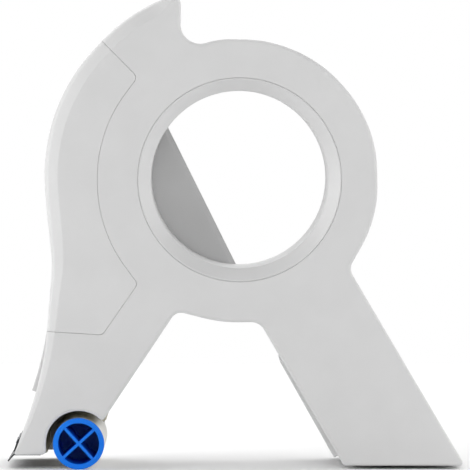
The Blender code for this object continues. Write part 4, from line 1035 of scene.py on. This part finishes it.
def start_material(name, roughness, metallic=0.0):
    """Make a named material and return it with its tree and shader."""
    mat = bpy.data.materials.new(name)
    mat.use_nodes = True
    tree = mat.node_tree
    shader = tree.nodes["Principled BSDF"]
    shader.inputs["Roughness"].default_value = roughness
    shader.inputs["Metallic"].default_value = metallic
    return mat, tree, shader


def mottled(tree, coords, size, low, high):
    """Return a colour that drifts between two hex colours over patches of a size in metres."""
    noise = add(tree, "ShaderNodeTexNoise", None, {
        "Vector": coords, "Scale": 1.0 / size, "Detail": 3.0})
    ramp = add(tree, "ShaderNodeValToRGB", None, {"Fac": noise.outputs["Fac"]})
    for stop, share, code in zip(ramp.color_ramp.elements, MOTTLE_shares, (low, high)):
        stop.position = share
        stop.color = linear(code)
    return ramp.outputs["Color"]


def moulded(name, low, high, roughness, grain, depth, edge, ior=1.5):
    """Make a plastic or rubber: a faint drift of colour, a fine grain and soft edges."""
    mat, tree, shader = start_material(name, roughness)
    coords = add(tree, "ShaderNodeTexCoord").outputs["Object"]
    tree.links.new(mottled(tree, coords, MOTTLE_SIZE, low, high), shader.inputs["Base Color"])
    fine = add(tree, "ShaderNodeTexNoise", None, {
        "Vector": coords, "Scale": 1.0 / grain, "Detail": 4.0})
    spread = add(tree, "ShaderNodeMapRange", None, {
        "Value": fine.outputs["Fac"], "To Min": roughness - GRAIN_SWING,
        "To Max": roughness + GRAIN_SWING})
    tree.links.new(spread.outputs["Result"], shader.inputs["Roughness"])
    soft = add(tree, "ShaderNodeBevel", {"samples": BEVEL_SAMPLES}, {"Radius": edge})
    bump = add(tree, "ShaderNodeBump", None, {
        "Height": fine.outputs["Fac"], "Distance": depth, "Strength": GRAIN_STRENGTH,
        "Normal": soft.outputs["Normal"]})
    tree.links.new(bump.outputs["Normal"], shader.inputs["Normal"])
    shader.inputs["IOR"].default_value = ior
    return mat


def brushed(name, low, high, roughness, along):
    """Make a metal whose grinding lines run along one axis."""
    mat, tree, shader = start_material(name, roughness, 1.0)
    coords = add(tree, "ShaderNodeTexCoord").outputs["Object"]
    scale = [1.0 / LINE_W] * 3
    scale[along] = 1.0 / LINE_L
    stretched = add(tree, "ShaderNodeMapping", None, {"Vector": coords, "Scale": scale})
    lines = add(tree, "ShaderNodeTexNoise", None, {
        "Vector": stretched.outputs["Vector"], "Scale": 1.0, "Detail": 3.0})
    ramp = add(tree, "ShaderNodeValToRGB", None, {"Fac": lines.outputs["Fac"]})
    ramp.color_ramp.elements[0].color = linear(low)
    ramp.color_ramp.elements[1].color = linear(high)
    tree.links.new(ramp.outputs["Color"], shader.inputs["Base Color"])
    spread = add(tree, "ShaderNodeMapRange", None, {
        "Value": lines.outputs["Fac"], "To Min": roughness + LINE_SWING[0],
        "To Max": roughness + LINE_SWING[1]})
    tree.links.new(spread.outputs["Result"], shader.inputs["Roughness"])
    bump = add(tree, "ShaderNodeBump", None, {
        "Height": lines.outputs["Fac"], "Distance": LINE_D, "Strength": LINE_STRENGTH})
    tree.links.new(bump.outputs["Normal"], shader.inputs["Normal"])
    return mat


# Moulded ABS: an even satin grey. Its spark-eroded grain is drawn at 0.35 mm, coarser than it is,
# so that it shows close up
abs_grey = moulded("moulded_abs_grey", "#D1D1D1", "#D4D4D4", roughness=0.42, grain=0.35 * MM,
                   depth=0.006 * MM, edge=0.5 * MM)
# The same ABS over the grip, one shade paler
abs_cover = moulded("moulded_abs_grip", "#D2D2D2", "#D5D5D5", roughness=0.45, grain=0.35 * MM,
                    depth=0.006 * MM, edge=0.5 * MM)
# Moulded polypropylene: a saturated blue with a slight waxy gloss
pp_blue = moulded("moulded_polypropylene_blue", "#0374E6", "#067CEE", roughness=0.38,
                  grain=0.5 * MM, depth=0.004 * MM, edge=0.2 * MM, ior=1.34)
# Moulded nylon: a dull pale olive, which the shade of the roller's chamber darkens
nylon_olive = moulded("moulded_nylon_olive", "#ACA894", "#B6B29E", roughness=0.55,
                      grain=0.5 * MM, depth=0.01 * MM, edge=0.2 * MM)
# Ground silicone rubber: off white and dull, with a fine grit
rubber = moulded("ground_rubber", "#EEEDE9", "#F3F2EE", roughness=0.78, grain=0.25 * MM,
                 depth=0.02 * MM, edge=0.2 * MM)
# Acetal bushes: creamy white and smooth
acetal = moulded("turned_acetal", "#E5E4DD", "#EBEAE4", roughness=0.40, grain=0.4 * MM,
                 depth=0.004 * MM, edge=0.2 * MM)
# Ground spring steel: dark, streaked along its length
spring_steel = brushed("ground_spring_steel", "#2E3032", "#4A4C4E", roughness=0.36, along=1)
# Zinc-plated steel: cool grey with a soft streak
zinc_steel = brushed("zinc_plated_steel", "#8A8C8E", "#A2A4A6", roughness=0.32, along=0)


# Making and fitting the pieces

def fit(piece, body, slot, material, *nodes):
    """Give a piece its material and body, and let it stand for its solids; the slot is not used."""
    piece.data.materials.clear()
    piece.data.materials.append(material)
    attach(piece, body)
    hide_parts(*nodes)


fit(near_shell(), "frame", "near_shell", abs_grey, "near_shell")
fit(far_shell(), "frame", "far_shell", abs_grey, "far_shell")
fit(grip_cover(), "frame", "grip_cover", abs_cover, "grip_cover")
fit(leg_strip(), "frame", "leg_cover", abs_grey, "leg_cover")
fit(hub_funnel(), "hub", "hub_bezel", abs_grey, "hub_bezel")
fit(core_tube(), "core_drum", "core_hub", abs_grey, "core_hub")
fit(roller_body(), "press_roller", "roller_core", pp_blue, "roller_core")
fit(roller_tyre(), "press_roller", "roller_sleeve", rubber, "roller_sleeve")
fit(roller_hood(), "frame", "roller_hood", nylon_olive, "roller_hood")
fit(toothed_blade(), "frame", "blade", spring_steel, "blade")
fit(clip_sheet(), "frame", "front_clip", spring_steel, "front_clip")
for node, piece in small_screws() + shell_screws():
    fit(piece, "frame", node, zinc_steel, node)

kept = {"hub_ring": spring_steel, "roller_bush_1": acetal, "roller_bush_2": acetal,
        "roller_axle": zinc_steel, "axle_screw": zinc_steel, "nose_block": nylon_olive}
for node, material in kept.items():
    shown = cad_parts[node]
    shown.data.materials.clear()
    shown.data.materials.append(material)


# Floor, light and camera

def white_backdrop():
    """Make the world white to the camera, to gloss and through glass, and dim to the rest."""
    world = bpy.data.worlds.new("studio")
    bpy.context.scene.world = world
    world.use_nodes = True
    tree = world.node_tree
    back = tree.nodes["Background"]
    back.inputs["Color"].default_value = (1.0, 1.0, 1.0, 1.0)
    path = add(tree, "ShaderNodeLightPath")
    seen = add(tree, "ShaderNodeMath", {"operation": "MAXIMUM"}, {
        0: path.outputs["Is Camera Ray"], 1: path.outputs["Is Glossy Ray"]})
    seen = add(tree, "ShaderNodeMath", {"operation": "MAXIMUM"}, {
        0: seen.outputs["Value"], 1: path.outputs["Is Transmission Ray"]})
    power = add(tree, "ShaderNodeMapRange", None, {
        "Value": seen.outputs["Value"], "To Min": WORLD_LIGHT, "To Max": 1.0})
    tree.links.new(power.outputs["Result"], back.inputs["Strength"])


def lamp(name, place, aim, size, power):
    """Hang a rectangular area lamp that points at a place."""
    data = bpy.data.lights.new(name, "AREA")
    data.shape = "RECTANGLE"
    data.size, data.size_y = size
    data.energy = power
    made = bpy.data.objects.new(name, data)
    bpy.context.scene.collection.objects.link(made)
    look_from(made, place, aim)


def look_from(thing, place, aim):
    """Put a lamp or camera at a place and turn its -Z towards the aim, with +Y up."""
    back = np.array(place, float) - np.array(aim, float)
    back /= np.linalg.norm(back)
    right = np.cross((0.0, 0.0, 1.0), back)
    right /= np.linalg.norm(right)
    up = np.cross(back, right)
    matrix = np.eye(4)
    matrix[:3, 0], matrix[:3, 1], matrix[:3, 2], matrix[:3, 3] = right, up, back, place
    thing.matrix_world = Matrix(matrix.tolist())


def studio_floor():
    """Lay a plain pale floor."""
    bm = bmesh.new()
    bmesh.ops.create_grid(bm, x_segments=1, y_segments=1, size=FLOOR_REACH)
    mesh = bpy.data.meshes.new("studio_floor")
    bm.to_mesh(mesh)
    bm.free()
    made = bpy.data.objects.new("studio_floor", mesh)
    bpy.context.scene.collection.objects.link(made)
    look, _, shader = start_material("painted_studio_floor", 0.9)
    shader.inputs["Base Color"].default_value = linear("#FAFAFA")
    made.data.materials.append(look)
    return made


def in_view(pixel, y):
    """Return the place at depth y that a pixel stands for, by its way from the hub axis."""
    return HUB_X + (pixel[0] - HUB_PX[0]) * PIXEL, y, HUB_Z - (pixel[1] - HUB_PX[1]) * PIXEL


def photo_camera():
    """Set the camera where the photograph was taken from, aimed at the picture's middle."""
    data = bpy.data.cameras.new("camera")
    made = bpy.data.objects.new("camera", data)
    bpy.context.scene.collection.objects.link(made)
    look_from(made, in_view(VANISH, -HALF_W - CAMERA_FAR),
              in_view((FRAME_PX / 2, FRAME_PX / 2), -HALF_W))
    data.sensor_width = SENSOR_W
    data.lens = SENSOR_W * CAMERA_FAR / (FRAME_PX * PIXEL)
    data.clip_start = CLIP_START
    bpy.context.scene.camera = made


white_backdrop()
middle = (HUB_X, 0.0, HUB_Z - LAMP_AIM_DROP)
lamp("left_softbox", (-1.25, -0.45, 0.45), middle, size=(0.9, 1.2), power=13.0)
lamp("right_softbox", (1.3, -0.5, 0.40), middle, size=(0.9, 1.2), power=9.4)
lamp("front_fill", (0.6, -1.7, 0.75), middle, size=(1.2, 1.0), power=6.5)
lamp("floor_light", (0.0, 0.9, 1.3), (0.0, 0.15, 0.0), size=(3.0, 1.8), power=27.0)
floor = studio_floor()
photo_camera()
bpy.context.scene.view_settings.view_transform = "Standard"
